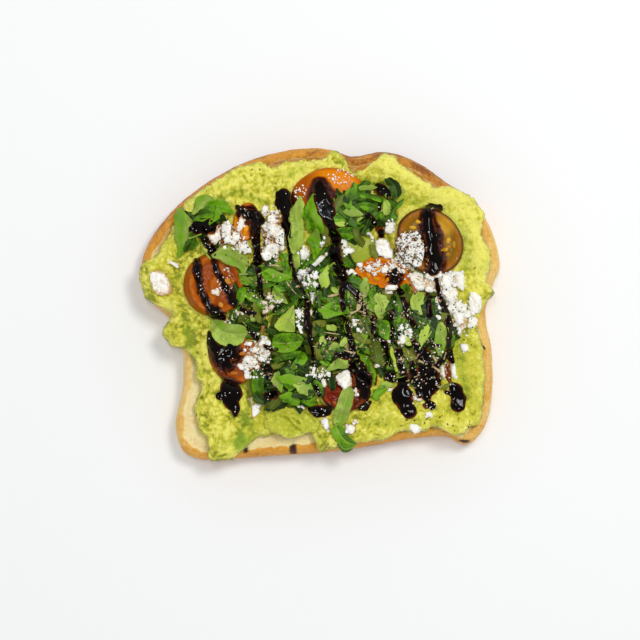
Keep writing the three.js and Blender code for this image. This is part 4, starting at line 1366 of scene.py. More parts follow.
def lay_leaf(batch, tone, halves, spots, seed, bend=0.3, roll=0.0, sink=0.0, torn=False,
             shade=0.0):
    """Adds one leaf along its midrib, draped over what lies under it.

    bend lifts its edges, roll tips it sideways, sink presses it into the heap and shade darkens
    it. A torn leaf ends bluntly and has ragged sides.
    """
    luck = np.random.default_rng(seed)
    sides = np.array([half if isinstance(half, tuple) else (half, half) for half in halves], float)
    if torn:
        own = np.linspace(0, 1, len(sides))
        sides = np.stack([np.interp(np.linspace(0, 1, 6), own, sides[:, k]) for k in (0, 1)], 1)
        sides = np.maximum(1.1 * sides + 0.15, 0.75 * sides.max()) * luck.uniform(0.7, 1.2, (6, 2))
    widest = sides.max()
    length = line_length(spots)
    rows = int(np.clip(length / LEAF_STEP, 7, 44))
    wing = int(np.clip(widest / LEAF_STEP, 2, 8))
    middle = smooth_line(spots, rows)
    share = np.linspace(0, 1, rows)
    stations = np.linspace(0, 1, len(sides))
    if torn:
        reach = np.stack([np.interp(share, stations, sides[:, k]) for k in (0, 1)], 1)
    else:
        fine = smooth_line(np.column_stack([stations * 4, sides]), 60)
        reach = np.stack([np.interp(share * 4, fine[:, 0], fine[:, k]) for k in (1, 2)], 1)
    corner = 0.3 if torn else 0.25 * widest + 0.2
    to_end = np.minimum(share, 1 - share) * length
    rounded = 1 - np.clip(1 - to_end / corner, 0, 1) ** 2
    rounded = np.sqrt(np.clip(rounded, 0.5 if torn else 0.12, 1))
    reach = np.maximum(reach, 0.12) * rounded[:, None]
    ahead, right = line_ways(middle)
    v = np.linspace(-1, 1, 2 * wing + 1)
    away = np.where(v[None, :] < 0, reach[:, :1], reach[:, 1:]) * v[None, :]
    along = share[:, None] * length + 0 * v
    ragged = 0.12 if torn else 0.08
    away = away * (1 + ragged * swell(np.stack([along, away], -1) + seed % 97, 1.3, 111, 2))
    plan = middle[:, None, :] + right[:, None, :] * away[..., None]
    slant = luck.uniform(-0.8, 0.8, 2) * widest * (1.0 if torn else 0.2)
    plan = plan + ahead[:, None, :] * ((slant[0] * (1 - share) + slant[1] * share)[:, None]
                                       * v)[..., None]
    x, y = plan[..., 0], plan[..., 1]
    bed = relief.at(x, y) - sink
    z = bed.copy()
    for _ in range(LEAF_DRAPES):
        z = np.maximum(bed, blurred(z, 1))
    cup = bend * min(widest, 2.2) * v**2 * (0.5 + 0.5 * swell(plan, 3.4, seed))
    z = z + 0.2 + cup + roll * away + abs(roll) * reach.mean() * 0.6
    for _ in range(2 if torn else 1):
        turn, offset = luck.uniform(0, math.pi), luck.uniform(-0.5, 0.5) * widest
        crease = np.abs((x - x.mean()) * math.cos(turn) + (y - y.mean()) * math.sin(turn) - offset)
        slope = (luck.uniform(0.15, 0.5) if torn else luck.uniform(0.1, 0.3)) * luck.choice([-1, 1])
        z = z + slope * (crease - (widest if slope < 0 else 0))
    z = np.maximum(z, bed + 0.1)
    pitch = max(0.9, 0.42 * widest)
    phase = (along - 0.75 * np.abs(away)) / pitch
    whole = 0.0 if torn else 1.0
    puff = 0.09 * whole * min(1, widest / 2) * (1 - (2 * (phase % 1) - 1) ** 2) * (1 - v**4)
    crinkle = 0.12 * swell(np.stack([x, y, z], -1), 1.7, 112, 2) * min(1.5, widest)
    groove = 0.14 * np.exp(-((away / 0.3) ** 2)) * min(1, widest / 1.5)
    z = z + puff + crinkle - (0.4 + 0.6 * whole) * groove
    over = np.maximum(z - (LEAF_CAP - 1), 0)
    z = z - over + over / (1 + over)
    net = np.stack([x, y, z], -1)
    step = net_normals(net) * (LEAF_HALF_THICK * (1 - 0.45 * v**6))[None, :, None]
    level, olive = LEAF_TONES[tone]
    # tone is a little paler at the edges; one half, chosen at random, is painted a little lighter
    # than the other, as painted light on a folded leaf; shade takes off painted shade.
    edge = 0.06 * np.abs(v) ** 3 + 0.06 * np.sign(v) * luck.choice([-1, 1]) - shade + 0 * along
    batch.add_sheet(
        net + step, net - step, tone=level + luck.uniform(-0.05, 0.05) + edge, olive=float(olive),
        along=along, across=np.abs(away), pitch=pitch, core=0.0, veins=0.25 + 0.75 * whole,
    )
    relief.cover(net + step)


def lay_stalk(batch, half, spots):
    """A thin round stalk lying on the relief."""
    line = smooth_line(spots, max(8, int(line_length(spots) / 0.4)))
    height = relief.at(line[:, 0], line[:, 1]) + half * 0.6
    for _ in range(10):
        padded = np.pad(height, 1, mode="edge")
        height = np.maximum(height, (padded[:-2] + 2 * padded[1:-1] + padded[2:]) / 4)
    _, right = line_ways(line)
    turns = np.radians(np.arange(0, 360, 45))
    plan = line[:, None] - right[:, None] * half * np.cos(turns)[:, None]
    rings = np.dstack([plan, height[:, None] - half * np.sin(turns)])
    batch.add_rings(rings, tone=0.9, olive=0.2, across=9.0, pitch=1.0)


def heap_core(spot, half, turn, top, seed, steep=0.5):
    """Rings of the lumpy middle of a heap, which its loose pieces hide."""
    unit = directions(HEAP_COLUMNS)
    unit = unit * (0.94 + 0.1 * swell(unit * 3 + seed, 1.2, seed, 2))[:, None]
    rings = []
    for reach in [0.5, 0.97, *np.linspace(1, 0.03, 36)]:
        u, v = unit[:, 0] * half[0] * reach, unit[:, 1] * half[1] * reach
        x, y = turned(*spot, u, v, math.radians(turn))
        bed = relief.at(x, y)
        share = (1 - min(reach, 1) ** 2.4) ** steep if len(rings) > 1 else 0
        z = bed - 0.35 + np.maximum(top - bed + 0.35, 0.35) * share
        rings.append(np.column_stack([x, y, z]))
    rings = np.array(rings)
    bumps = 0.55 * knobs(rings[..., :2], 2.6, seed) + 0.35 * swell(rings[..., :2], 1.2, seed + 1, 2)
    rings[2:, :, 2] += (bumps[2:] - 0.35) * smoothstep(0, 6, np.arange(len(rings) - 2))[:, None]
    return rings


def heap_places(luck, spot, half, turn, count, spill=1.0):
    """Random places over a heap, in its own outline."""
    reach = np.sqrt(luck.uniform(0, 1, count)) * spill
    angle = luck.uniform(0, 2 * math.pi, count)
    u, v = reach * np.cos(angle) * half[0], reach * np.sin(angle) * half[1]
    return np.column_stack(turned(*spot, u, v, math.radians(turn)))


def nearest_heap(heaps, place):
    """The batch of the heap whose middle is nearest to a place."""
    return min(heaps, key=lambda heap: np.hypot(*(place - heap[1])))[2]


class TOAST_OT_basil(bpy.types.Operator):
    """Torn and cut basil: heaps of strips, single leaves and a few stalks"""

    bl_idname = "toast.basil"
    bl_label = "Basil"

    def execute(self, context):
        settings = context.scene.toast_basil
        material = basil_material(settings)
        heaps = []
        for number, (node, spot, half, turn, top) in enumerate(BASIL_HEAPS):
            luck = np.random.default_rng(200 + number)
            batch = Batch()
            rings = heap_core(spot, half, turn, top - 1.7, 210 + number)
            # The core is painted almost black green, as painted shade deep in the heap between the
            # strips.
            batch.add_rings(rings, across=9.0, pitch=1.0, core=1.0)
            relief.cover(rings[3:], closed=True)
            count = int(settings.strips * math.pi * half[0] * half[1] / 100)
            places = [heap_places(luck, spot, half, turn, count, 1.06)]
            for zone, other, beyond, many in LEAF_SPILLS:
                if BASIL_HEAPS[zone][0] == node:
                    places.append(heap_places(luck, other, beyond, 0, many))
            places = np.vstack(places)
            luck.shuffle(places)
            for order, (x, y) in enumerate(places):
                length, wide = luck.uniform(3.4, 7.4), luck.uniform(0.8, 1.8)
                way = luck.uniform(0, 2 * math.pi)
                hook = luck.uniform(-0.7, 0.7)
                spots = [turned(x, y, length / 2, 0, way + math.pi), turned(x, y, 0, hook, way),
                         turned(x, y, length / 2, 0, way)]
                tone = luck.choice(list("ddmmmmbbbgpko"))
                halves = (wide * luck.uniform(0.5, 0.9), wide, wide * luck.uniform(0.5, 0.9))
                # Painted shade: the strips laid first lie deepest in the heap and are painted
                # darker.
                lay_leaf(batch, tone, halves, spots, int(luck.integers(1, 10**6)),
                         luck.uniform(-0.2, 0.4), luck.uniform(-0.4, 0.4), sink=0.6, torn=True,
                         shade=HEAP_SHADES[number] + 0.34 * (1 - order / len(places)))
            heaps.append((node, spot, batch))
        for number, (tone, half, *ends) in enumerate(LOOSE_LEAVES):
            near, far = np.array(ends).reshape(2, 2)
            bow = np.array([1, -1]) * (far - near)[::-1] * luck.uniform(-0.12, 0.12)
            spots = [near, (near + far) / 2 + bow, far]
            lay_leaf(nearest_heap(heaps, spots[1]), tone, (0.6 * half, half, 0.7 * half), spots,
                     300 + number, 0.25, sink=0.2, torn=True)
        for number, (node, leaves) in enumerate(WHOLE_LEAVES.items()):
            batch = Batch()
            whole = node.endswith(("over_tomato", "pale_lower", "pale_upper", "front"))
            for order, (tone, halves, spots) in enumerate(leaves):
                lay_leaf(batch, tone, halves, spots, 400 + 10 * number + order, 0.35,
                         torn=not whole)
            batch.build(node.replace("basil_", "torn_basil_"), "basil", [node], material)
        for half, spots in STALKS:
            lay_stalk(nearest_heap(heaps, np.mean(spots, axis=0)), half, spots)
        for node, _, batch in heaps:
            batch.build(node.replace("basil_", "cut_basil_"), "basil", [node], material)
        return {"FINISHED"}


# ---------------------------------------------------------------- feta

# Heaps of feta crumbs: node, centre, half sizes, turn, height of the top, and how much the core
# browns in its creases.
FETA_HEAPS = [
    ("feta_heap_upper_left", (-30.5, 23.2), (8.2, 5), -14, 23.2, 0.4),
    ("feta_heap_upper_middle", (-15.8, 23.8), (4.3, 9.6), -3, 23, 0.4),
    ("feta_heap_center_right", (30, 19), (5.2, 7.2), 30, 25.2, 0.5),
    ("feta_heap_right", (39.5, 7.4), (10, 3.9), 5, 23.4, 0),
    ("feta_heap_right_edge", (46.4, -3.4), (4.2, 7.2), 14, 22.8, 0),
    ("feta_heap_lower_left", (-21.6, -17.6), (4.2, 8.4), -31, 24.2, 0.1),
]
# Single lumps that are pieces of their own: node, centre, half sizes, turn, height of the top.
SINGLE_LUMPS = [
    ("feta_lump_left", (-53.5, 7.6), (3.4, 4.7), 6, 21.9),
    ("feta_lump_middle", (21.7, 18.8), (3.1, 4.1), 8, 23.4),
    ("feta_lump_front", (7.9, -24.8), (3.6, 2.5), -4, 24.3),
    ("feta_lump_right", (52.6, 0.4), (2.6, 4.2), 8, 22.3),
]
# Lumps over the heaps and between them: x, y, half width, half depth and perhaps a turn.
FETA_LUMPS = [
    (-35.4, 23, 2.6, 2.4, 20), (-31.5, 25, 1.8, 3, 5), (-30, 21.8, 2.4, 1.7, -15),
    (-26.5, 27.3, 1.1, 2.6, -20), (-26, 19.5, 2.2, 1.6, 30), (-28.2, 23, 1.4, 1.8),
    (-24.3, 18.5, 1.4, 1.2, 10), (-18.5, 32, 1.2, 1.7), (-16, 28.5, 1.6, 2, 15),
    (-15.5, 25, 2.4, 2.4, -10), (-18.2, 26.2, 1.1, 1.4), (-13.3, 23, 1.5, 3, 4),
    (-16.5, 18.5, 2.8, 2.4, 25), (-18, 16.5, 1.6, 1.4), (-13, 19.2, 1.7, 1, 20),
    (-16, 31.4, 0.9, 0.7), (-14.4, 31, 0.8, 0.7, 30), (-12.8, 31.8, 0.8, 0.6),
    (-5.2, 17.2, 1.8, 2.5, 10), (-0.9, 14.2, 4.4, 0.9, 41), (1.6, 21.5, 0.7, 1.7, -30),
    (0.8, 32, 0.9, 1.2),
    (-4.8, 11, 2.3, 1.2, 10), (-4.2, 9.4, 1.2, 1), (-6.6, 9.4, 0.8, 1.8), (-1.4, 10, 1.2, 1.5, 20),
    (-4.6, 7, 1, 1.3), (-1.6, 7, 1, 1.2), (-2, 3.6, 1, 0.8), (-2.4, 1.6, 0.8, 1),
    (8.3, 20.4, 1.3, 1.7), (9.6, 18.2, 2, 1.2, 10), (23.9, 26.2, 1.6, 2.6, -20),
    (29.4, 22.4, 1.7, 1.5), (32.4, 20.6, 1.6, 1.2, 20), (34, 17, 1.5, 1.8),
    (30.6, 17.6, 1.6, 1.4, 10), (27.6, 20.6, 1.4, 1.6), (33, 14.4, 1.6, 1.4),
    (29.6, 15.6, 1.2, 1.3), (26.3, 15, 1.6, 1.6, 20), (31.8, 23.4, 1, 0.9), (16.6, 24, 0.9, 0.7),
    (17.8, 22.6, 0.7, 0.9), (10.5, 10.6, 1.6, 1.3, 10), (13.6, 13.4, 1.1, 0.9),
    (16.6, 12.4, 1.3, 1, 30), (19.2, 13.6, 1.2, 1), (22, 12, 1.4, 1.1, 10), (24.6, 13, 1.1, 0.9),
    (27.6, 11.4, 1.2, 0.9), (18.4, 10.6, 0.9, 0.7), (24, 5.8, 2.1, 1, 5), (23.5, 4.3, 1.2, 0.7),
    (32.6, 8.6, 2.2, 3, 5), (33.8, 5.8, 1.6, 1.4), (37.3, 10, 1.8, 1.3), (36.8, 5.4, 1.4, 1),
    (39.9, 10.2, 1.5, 1, 5), (43, 7.6, 1.9, 3.2, -6), (43.8, 3.4, 2.3, 2.4, 20),
    (47.2, 8, 1.7, 3, -12), (46, 10.6, 2.4, 0.8, 4), (40, 1, 0.9, 1.4, 5), (40, -2, 1.1, 1.9, 5),
    (40.3, -4.4, 0.8, 0.7), (44.6, -1.4, 1.9, 1.6, 10), (47.6, -1, 2.2, 1.7, -10),
    (46.6, -4.4, 1.9, 1.9, 20), (49.8, -3, 2, 1.5), (51.6, -5.8, 1.6, 2, -8),
    (47, -8.6, 0.7, 1.4, 12), (49, -14.5, 1.3, 1.5, 10), (46, -6.6, 1.1, 0.8),
    (12, -6.2, 1.4, 1.6), (13.4, -8, 1.2, 1.2), (27.4, -7.6, 1.2, 1), (29.8, -8.8, 1.6, 1.3),
    (28, -11.7, 1.6, 1.8, -30), (23.1, -12.2, 0.5, 1.3, 50), (-6.7, -7.6, 0.6, 2.3, 20),
    (-14.2, 1.4, 1.8, 1), (-16.9, 2.6, 1, 1), (-18.2, -1.6, 1.2, 1.5), (-18.8, 0.8, 1.1, 0.8),
    (-16.3, -0.6, 1, 1.1), (-27, -3.2, 1.1, 0.7, 10), (-23.3, -19.3, 2.4, 2.3, 15),
    (-26.2, -20.8, 1.2, 1.2), (-24.4, -23.6, 1.1, 1.8), (-21.8, -15.3, 1.5, 1.2),
    (-23.8, -13.2, 1.2, 0.8), (-18.8, -13.3, 1.8, 2.3, 10), (-18, -16.2, 1.7, 1.2),
    (-19.6, -17.9, 1.5, 1.2), (-19.2, -10.9, 0.8, 0.8), (-21, -21, 1, 0.9),
    (-2.4, -21.8, 1.3, 1, 40), (-2.4, -23.6, 2, 0.8, 6), (-3, -2.8, 0.7, 1.2),
    (-6.8, -3, 1.1, 1.6, 10), (2.5, -22.9, 1.4, 0.9, -10), (1.2, -25.6, 0.7, 2.4, 28),
    (-21.6, -35.6, 1.2, 1.9, 6), (-20.4, -33.9, 1, 0.5), (-6, -34.6, 1.3, 0.6, -15),
    (2.1, -40.1, 1, 2.5, 8), (10.4, -41.9, 1.7, 1.9, 10), (12, -39.4, 0.8, 1.1),
    (12.3, -29.2, 0.5, 1.7, 3), (23.9, -28.7, 1.2, 0.5, 25), (32.2, -41.7, 1.9, 1.3, -14),
    (37, -37, 1.6, 0.8, -15), (32, -31.3, 1.1, 0.9), (33.8, -31.8, 1.1, 0.7, 10),
    (41.7, -22.4, 0.8, 2.6, 10), (45.4, -22.4, 0.8, 2.4, 6), (-35, 4.2, 1.6, 1.2),
    (-49.4, 13.9, 2, 0.8, -24), (19.8, -20.3, 1.2, 0.8),
]
LUMP_FACES = 15
# The higher, the sharper the edges between a lump's broken faces.
LUMP_SQUARENESS = 20.0
SINGLE_SQUARENESS = 7.0
# Where the crumbs have soaked up most of the syrup.
SYRUPY = (-25, 2)
# Zones with small crumbs: centre, half sizes, number, smallest and largest half size.
CRUMB_ZONES = [
    (-30, 23, 8, 5, 50, 0.25, 0.7), (-15.6, 24, 4, 10, 60, 0.25, 0.7),
    (30.4, 18.6, 4.6, 6.8, 190, 0.25, 0.75), (20.6, 12.4, 8.6, 2.6, 110, 0.25, 0.6),
    (40, 7, 10, 5, 40, 0.25, 0.6), (47, -4, 5, 8, 50, 0.25, 0.6),
    (-21, -17, 4.6, 8.4, 90, 0.25, 0.7),
    (-17, 0.6, 3.6, 3.4, 50, 0.22, 0.55), (-3.6, 7.6, 3.4, 6.4, 60, 0.22, 0.55),
    (-29, -4, 4.6, 2.2, 40, 0.2, 0.5), (28.2, -10, 3, 4, 40, 0.22, 0.6),
    (-6.4, -3.4, 2, 2.6, 30, 0.2, 0.5), (-22.6, 3.4, 2.8, 1.8, 30, 0.2, 0.5),
    (-31.6, 8.4, 3.4, 4.2, 26, 0.2, 0.5), (0.4, -23.6, 3.4, 2.4, 30, 0.2, 0.5),
    (34.4, -29.6, 3, 5, 40, 0.2, 0.6), (40.6, -18, 3.4, 3.4, 34, 0.2, 0.55),
    (12, 0, 22, 17, 26, 0.18, 0.42), (30, -14, 12, 13, 26, 0.18, 0.45),
]


class FetaSettings(bpy.types.PropertyGroup):
    curd: colour_setting("Curd", "Feta on its broken faces", tint(255, 253, 246))
    shade: colour_setting("Shaded curd", "Feta in its pits", tint(232, 218, 186))


def feta_material(settings):
    material, graph, place = new_material("feta")
    broad = graph.noise(place, 2.4, 3)
    fine = graph.noise(place, 0.5, 4, 0.65)
    mottled = graph.math("MULTIPLY_ADD", broad, 0.5, graph.math("MULTIPLY", fine, 0.5))
    soaked = graph.math("MULTIPLY", graph.mask("stain"), graph.spread(mottled, 0.32, 0.54))
    colour = graph.layers(
        settings.curd,
        (graph.spread(broad, 0.4, 0.7, 0, 0.55), tint(252, 244, 224)),
        (graph.spread(fine, 0.55, 0.8, 0, 0.7), settings.shade),
        # Painted shade in the hollows of the lumps and the creases of the heaps.
        (graph.mask("pit"), tint(206, 180, 138)),
        (graph.spread(soaked, 0.04, 0.5), tint(212, 168, 108)),
        (graph.spread(soaked, 0.4, 0.95), tint(136, 72, 24)),
    )
    grain = graph.group("uneven_grain", Place=place, Size=0.55, Sharpness=0.7)
    finish_shader(graph, Base_Color=colour, Roughness=0.8, Normal=graph.bump(grain, 0.16, 0.9),
                  Subsurface_Weight=0.3, Subsurface_Scale=0.001,
                  Subsurface_Radius=(1.0, 0.8, 0.6))
    return material


def add_lump(batch, x, y, wide, deep, turn, seed, rise=None, top=None):
    """A broken lump: flat broken faces, crumbling edges, bedded in what carries it.

    A single lump is rounder, and its half height and the height of its top are given.
    """
    luck = np.random.default_rng(seed)
    single = top is not None
    squareness = SINGLE_SQUARENESS if single else LUMP_SQUARENESS
    smaller = min(wide, deep)
    rows = int(np.clip(6.4 * smaller, 5, 26))
    columns = int(np.clip(14 * smaller, 7, 58))
    tall = np.radians(np.linspace(-84, 84, rows))[:, None]
    about = np.radians(np.linspace(0, 360, columns, endpoint=False))[None, :]
    way = np.stack([np.cos(tall) * np.cos(about), np.cos(tall) * np.sin(about),
                    np.sin(tall) + 0 * about], -1)
    faces = luck.normal(size=(LUMP_FACES, 3))
    faces[:6] = [(1, 0, 0.1), (-1, 0, 0.1), (0, 1, 0.1), (0, -1, 0.1), (0, 0, 1), (0, 0, -1)]
    faces[:6] += luck.normal(size=(6, 3)) * 0.3
    faces /= np.linalg.norm(faces, axis=1, keepdims=True)
    gaps = np.concatenate([luck.uniform(0.76, 1, 6),
                           luck.uniform(0.74, 0.98 if single else 1.2, LUMP_FACES - 6)])
    pull = np.maximum(np.einsum("rcd,fd->rcf", way, faces), 0) / gaps
    reach = np.sum(pull**squareness, -1) ** (-1 / squareness)
    rise = rise if single else smaller * luck.uniform(0.6, 0.85)
    body = way * reach[..., None] * (wide, deep, rise)
    spot = body + seed % 89
    grain = (0.4 if single else 0.22) * swell(spot, 1.5, 121, 2)
    grain = grain + 0.18 * swell(spot, 0.6, 122, 2)
    if smaller > 1.9:
        grain = grain + 0.5 * knobs(spot, 1.3, 123) - 0.25
    body = body + way * (grain * min(1, smaller))[..., None]
    u, v, w = body[..., 0], body[..., 1], body[..., 2]
    around = np.linspace(0, 2 * math.pi, 6, endpoint=False)
    bed = np.mean(np.append(
        relief.at(x + 0.6 * wide * np.cos(around), y + 0.6 * deep * np.sin(around)),
        relief.at(x, y)))
    lift = top - w.max() if single else bed + 0.5 * rise
    lift = min(lift, LEAF_CAP - 0.2 - w.max())
    rings = np.stack([*turned(x, y, u, v, math.radians(turn)), w + lift], -1)
    browned = 0.26 * smoothstep(15, 7, math.hypot(x - SYRUPY[0], y - SYRUPY[1]))
    browned = browned + 0.54 * smoothstep(0.55, 0, w / rise) * smoothstep(34, 22, x)
    # The hollows of each lump's grain are painted darker, as shade.
    batch.add_rings(rings, stain=0.6 * soak(rings[..., 0], rings[..., 1], -0.6) + browned
                    + 0.5 * luck.uniform(0, 0.3) ** 1.3, pit=np.clip(-1.6 * grain, 0, 0.6))
    if smaller > 0.45:
        relief.cover(rings[rows // 3:], closed=smaller > 1.2)


class TOAST_OT_feta(bpy.types.Operator):
    """Crumbled feta: heaps, broken lumps and fine crumbs"""

    bl_idname = "toast.feta"
    bl_label = "Feta"

    def execute(self, context):
        material = feta_material(context.scene.toast_feta)
        heaps = []
        for number, (node, spot, half, turn, top, pepper) in enumerate(FETA_HEAPS):
            batch = Batch()
            small = [0.86 * side for side in half]
            rings = heap_core(spot, small, turn, top - 2.3, 500 + number, 0.55)
            extra = 0.3 * knobs(rings, 1.4, 510) - 0.1
            rings[2:, :, 2] += extra[2:]
            # The core's creases between its knobs are painted darker as shade, and browner, partly
            # soaked syrup and partly painted shade.
            gaps = smoothstep(0.3, 0.75, knobs(rings[..., :2], 1.6, 512))
            batch.add_rings(rings, stain=np.clip(0.3 + 2.2 * pepper * (1.3 - gaps), 0, 1),
                            pit=1 - gaps)
            relief.cover(rings[3:], closed=True)
            heaps.append((node, spot, half, batch))
        loose = Batch()
        for number, (node, spot, half, turn, top) in enumerate(SINGLE_LUMPS):
            batch = Batch()
            low = float(np.min(relief.at(spot[0] + np.array([-1, 1, 0, 0]),
                                         spot[1] + np.array([0, 0, -1, 1])))) - 0.8
            add_lump(batch, *spot, *half, turn, 520 + number, rise=(top - low) / 2, top=top)
            batch.build(node.replace("feta_", "broken_feta_"), "feta", [node], material)

        def batch_for(x, y):
            for _, spot, half, batch in heaps:
                if np.hypot((x - spot[0]) / (half[0] + 3), (y - spot[1]) / (half[1] + 3)) < 1:
                    return batch
            return loose

        luck = np.random.default_rng(7)
        for number, (x, y, wide, deep, *turn) in enumerate(FETA_LUMPS):
            turn = sum(turn)
            add_lump(batch_for(x, y), x, y, wide, deep, turn, 540 + number)
            for _ in range(int(2.2 * max(wide, deep))):
                angle, size = luck.uniform(0, 2 * math.pi), luck.uniform(0.25, 0.75)
                reach = luck.uniform(0.8, 1.15)
                u, v = wide * reach * math.cos(angle), deep * reach * math.sin(angle)
                add_lump(batch_for(x, y), *turned(x, y, u, v, math.radians(turn)), size,
                         size * luck.uniform(0.6, 1), luck.uniform(0, 180),
                         int(luck.integers(1, 10**6)))
        for cx, cy, wide, deep, count, small, large in CRUMB_ZONES:
            for x, y in heap_places(luck, (cx, cy), (wide, deep), 0, count):
                size = small + (large - small) * luck.uniform() ** 2
                add_lump(batch_for(x, y), x, y, size, size * luck.uniform(0.6, 1),
                         luck.uniform(0, 180), int(luck.integers(1, 10**6)))
        for node, _, _, batch in heaps:
            batch.build(node.replace("heap", "crumbled"), "feta", [node], material)
        loose.build("feta_crumbs", "feta", [], material)
        return {"FINISHED"}


# ---------------------------------------------------------------- glaze


class GlazeSettings(bpy.types.PropertyGroup):
    syrup: colour_setting("Syrup", "Glaze where it is thick", tint(9, 4, 3))
    film: colour_setting("Film", "Glaze where it thins out", tint(122, 50, 12))


def glaze_material(settings):
    material, graph, place = new_material("dark_glaze")
    fine = graph.noise(place, 1.6, 3)
    thin = graph.math("MULTIPLY", graph.mask("film"), graph.spread(fine, 0.3, 0.6, 0.5, 1))
    finish_shader(graph, Base_Color=graph.mix(thin, settings.syrup, settings.film),
                  Roughness=graph.spread(fine, 0.3, 0.7, 0.03, 0.07),
                  Normal=graph.bump(graph.noise(place, 3, 2), 0.05, 0.5),
                  Specular_IOR_Level=0.1)
    return material


class TOAST_OT_glaze(bpy.types.Operator):
    """Dark glaze in strokes and pools over the toppings"""

    bl_idname = "toast.glaze"
    bl_label = "Glaze"

    def execute(self, context):
        smooth = blurred(relief.heights, 16)
        dips = blurred(np.clip(smooth - relief.heights, -1, 1), 3)
        inside = glaze_inside + 0.35 * dips
        base = np.maximum(smooth, blurred(relief.heights, 2) - 0.05)
        pool = smoothstep(0.5, 0.66, blurred(glaze_thick, 6))
        rough = blurred(np.abs(relief.heights - smooth), 8)
        base = base + glaze_thick + 0.9 * np.clip(rough - 0.2, 0, 0.5)
        base = blurred(base, 5) * (1 - pool) + blurred(base, 18) * pool + 0.08
        slope_y, slope_x = np.gradient(inside, relief.step)
        steep = np.maximum(slope_x**2 + slope_y**2, 1e-4)
        wet = inside > 0
        cells = wet[:-1, :-1] | wet[1:, :-1] | wet[:-1, 1:] | wet[1:, 1:]
        width = inside.shape[1]
        corner = np.ravel_multi_index(np.nonzero(cells), inside.shape)
        used, quads = np.unique(np.stack([corner, corner + 1, corner + width + 1, corner + width],
                                         1), return_inverse=True)
        quads = quads.reshape(-1, 4)
        x, y, level, base, steep, slope_x, slope_y, thin = (net.ravel()[used] for net in (
            relief.x, relief.y, inside, base, steep, slope_x, slope_y, glaze_thin))
        pull = np.where(level < 0, -level / steep, 0)
        limit = 0.9 * relief.step / np.maximum(np.abs(pull) * np.sqrt(steep), 1e-9)
        pull = pull * np.minimum(1, limit)
        x, y = x + pull * slope_x, y + pull * slope_y
        top = np.minimum(base + 0.05, LEAF_CAP + 0.2)
        ground = np.minimum(relief.at(x, y), top) - 0.3
        edges = np.concatenate([quads[:, [k, (k + 1) % 4]] for k in range(4)])
        keys = np.sort(edges, axis=1)
        _, first, counts = np.unique(keys[:, 0] * len(used) + keys[:, 1], return_index=True,
                                     return_counts=True)
        rim = edges[first[counts == 1]]
        count = len(used)
        walls = np.stack([rim[:, 1], rim[:, 0], rim[:, 0] + count, rim[:, 1] + count], 1)
        patchy = smoothstep(-0.35, 0.6, swell(np.stack([x, y], -1), 2.2, 84))
        film = np.maximum(0.9 * patchy * smoothstep(0.6, 0.05, level), thin)
        batch = Batch()
        batch.add(
            np.vstack([np.column_stack([x, y, top]), np.column_stack([x, y, ground])]),
            [quads, quads[:, ::-1] + count, walls],
            film=np.tile(film, 2),
        )
        heights = relief.heights.ravel()
        heights[used] = np.maximum(heights[used], top)
        batch.build("dark_glaze", "dark_glaze", [], glaze_material(context.scene.toast_glaze))
        return {"FINISHED"}


# ---------------------------------------------------------------- seasoning

# Straws of dried herb: colour, half width, points.
STRAWS = [
    ("tan", 0.28, [(-17.5, 13), (-15.5, 13.3), (-13.5, 13)]),
    ("tan", 0.25, [(-27, 10.3), (-24, 10.3)]),
    ("tan", 0.25, [(-11, 7.8), (-9.7, 5.6), (-7.7, 3.6)]), ("tan", 0.22, [(-8.2, 5.8), (-7, 6.5)]),
    ("tan", 0.3, [(8, -15.2), (12, -16.3)]), ("tan", 0.25, [(1.5, -9.2), (7, -10)]),
    ("orange", 0.5, [(29.2, 10.5), (31, 7), (32.5, 4)]),
    ("tan", 0.8, [(2.7, 2.8), (6, 3.5)]), ("tan", 0.6, [(10.2, -2.8), (12.6, -2), (13.4, 0.2)]),
    ("tan", 0.5, [(38, -17), (39.4, -19)]), ("tan", 0.4, [(42.6, -16), (41.9, -18.4)]),
    ("tan", 0.5, [(38, -20.6), (40.6, -22.4)]), ("tan", 0.4, [(33.2, -18.6), (35, -19.6)]),
    ("tan", 0.8, [(-23.4, -31.2), (-22.6, -34)]), ("brown", 0.5, [(-19, -7), (-19.4, -9.4)]),
]
# Strewn over zones at random: piece, number, centre, half sizes.
STREWN = [
    ("flake", 200, (16, -8), (19, 15)), ("flake", 60, (35, -20), (9, 11)),
    ("flake", 70, (-14, 4), (14, 12)), ("flake", 40, (30, 16), (7, 9)),
    ("flake", 50, (-12, -20), (13, 10)), ("flake", 60, (13.5, -2), (3.5, 8)),
    ("salt", 18, (18, -12), (22, 20)), ("salt", 30, (34, -24), (9, 10)),
    ("salt", 44, (7, 43), (4.4, 2.8)), ("salt", 26, (-6.6, 38), (2.2, 2.4)),
    ("salt", 10, (-20, 14), (18, 14)), ("pepper", 90, (20, -6), (24, 20)),
    ("pepper", 110, (-22, 22), (14, 10)), ("pepper", 130, (30, 18), (5, 7)),
    ("pepper", 40, (40, -6), (14, 14)), ("pepper", 26, (38, -40), (16, 3)),
]
# Grains of salt that stick to the strokes of glaze.
STUCK_SALT = 210


class SeasoningSettings(bpy.types.PropertyGroup):
    amount: FloatProperty(name="Amount", description="How much is strewn, as a share", min=0,
                          default=1.0)
    straw: colour_setting("Dried herb", "Straws and flakes of dried herb", tint(208, 186, 140))


def seasoning_material(name, inner, outer, rough):
    material, graph, place = new_material(name)
    fine = graph.noise(place, 0.6, 3, 0.6)
    colour = graph.layers(
        inner,
        (graph.spread(fine, 0.35, 0.65), outer),
        (graph.mask("warm"), tint(176, 84, 26)),
        (graph.mask("green"), tint(116, 116, 52)),
    )
    finish_shader(graph, Base_Color=colour, Roughness=rough, Normal=graph.bump(fine, 0.08, 0.7))
    return material


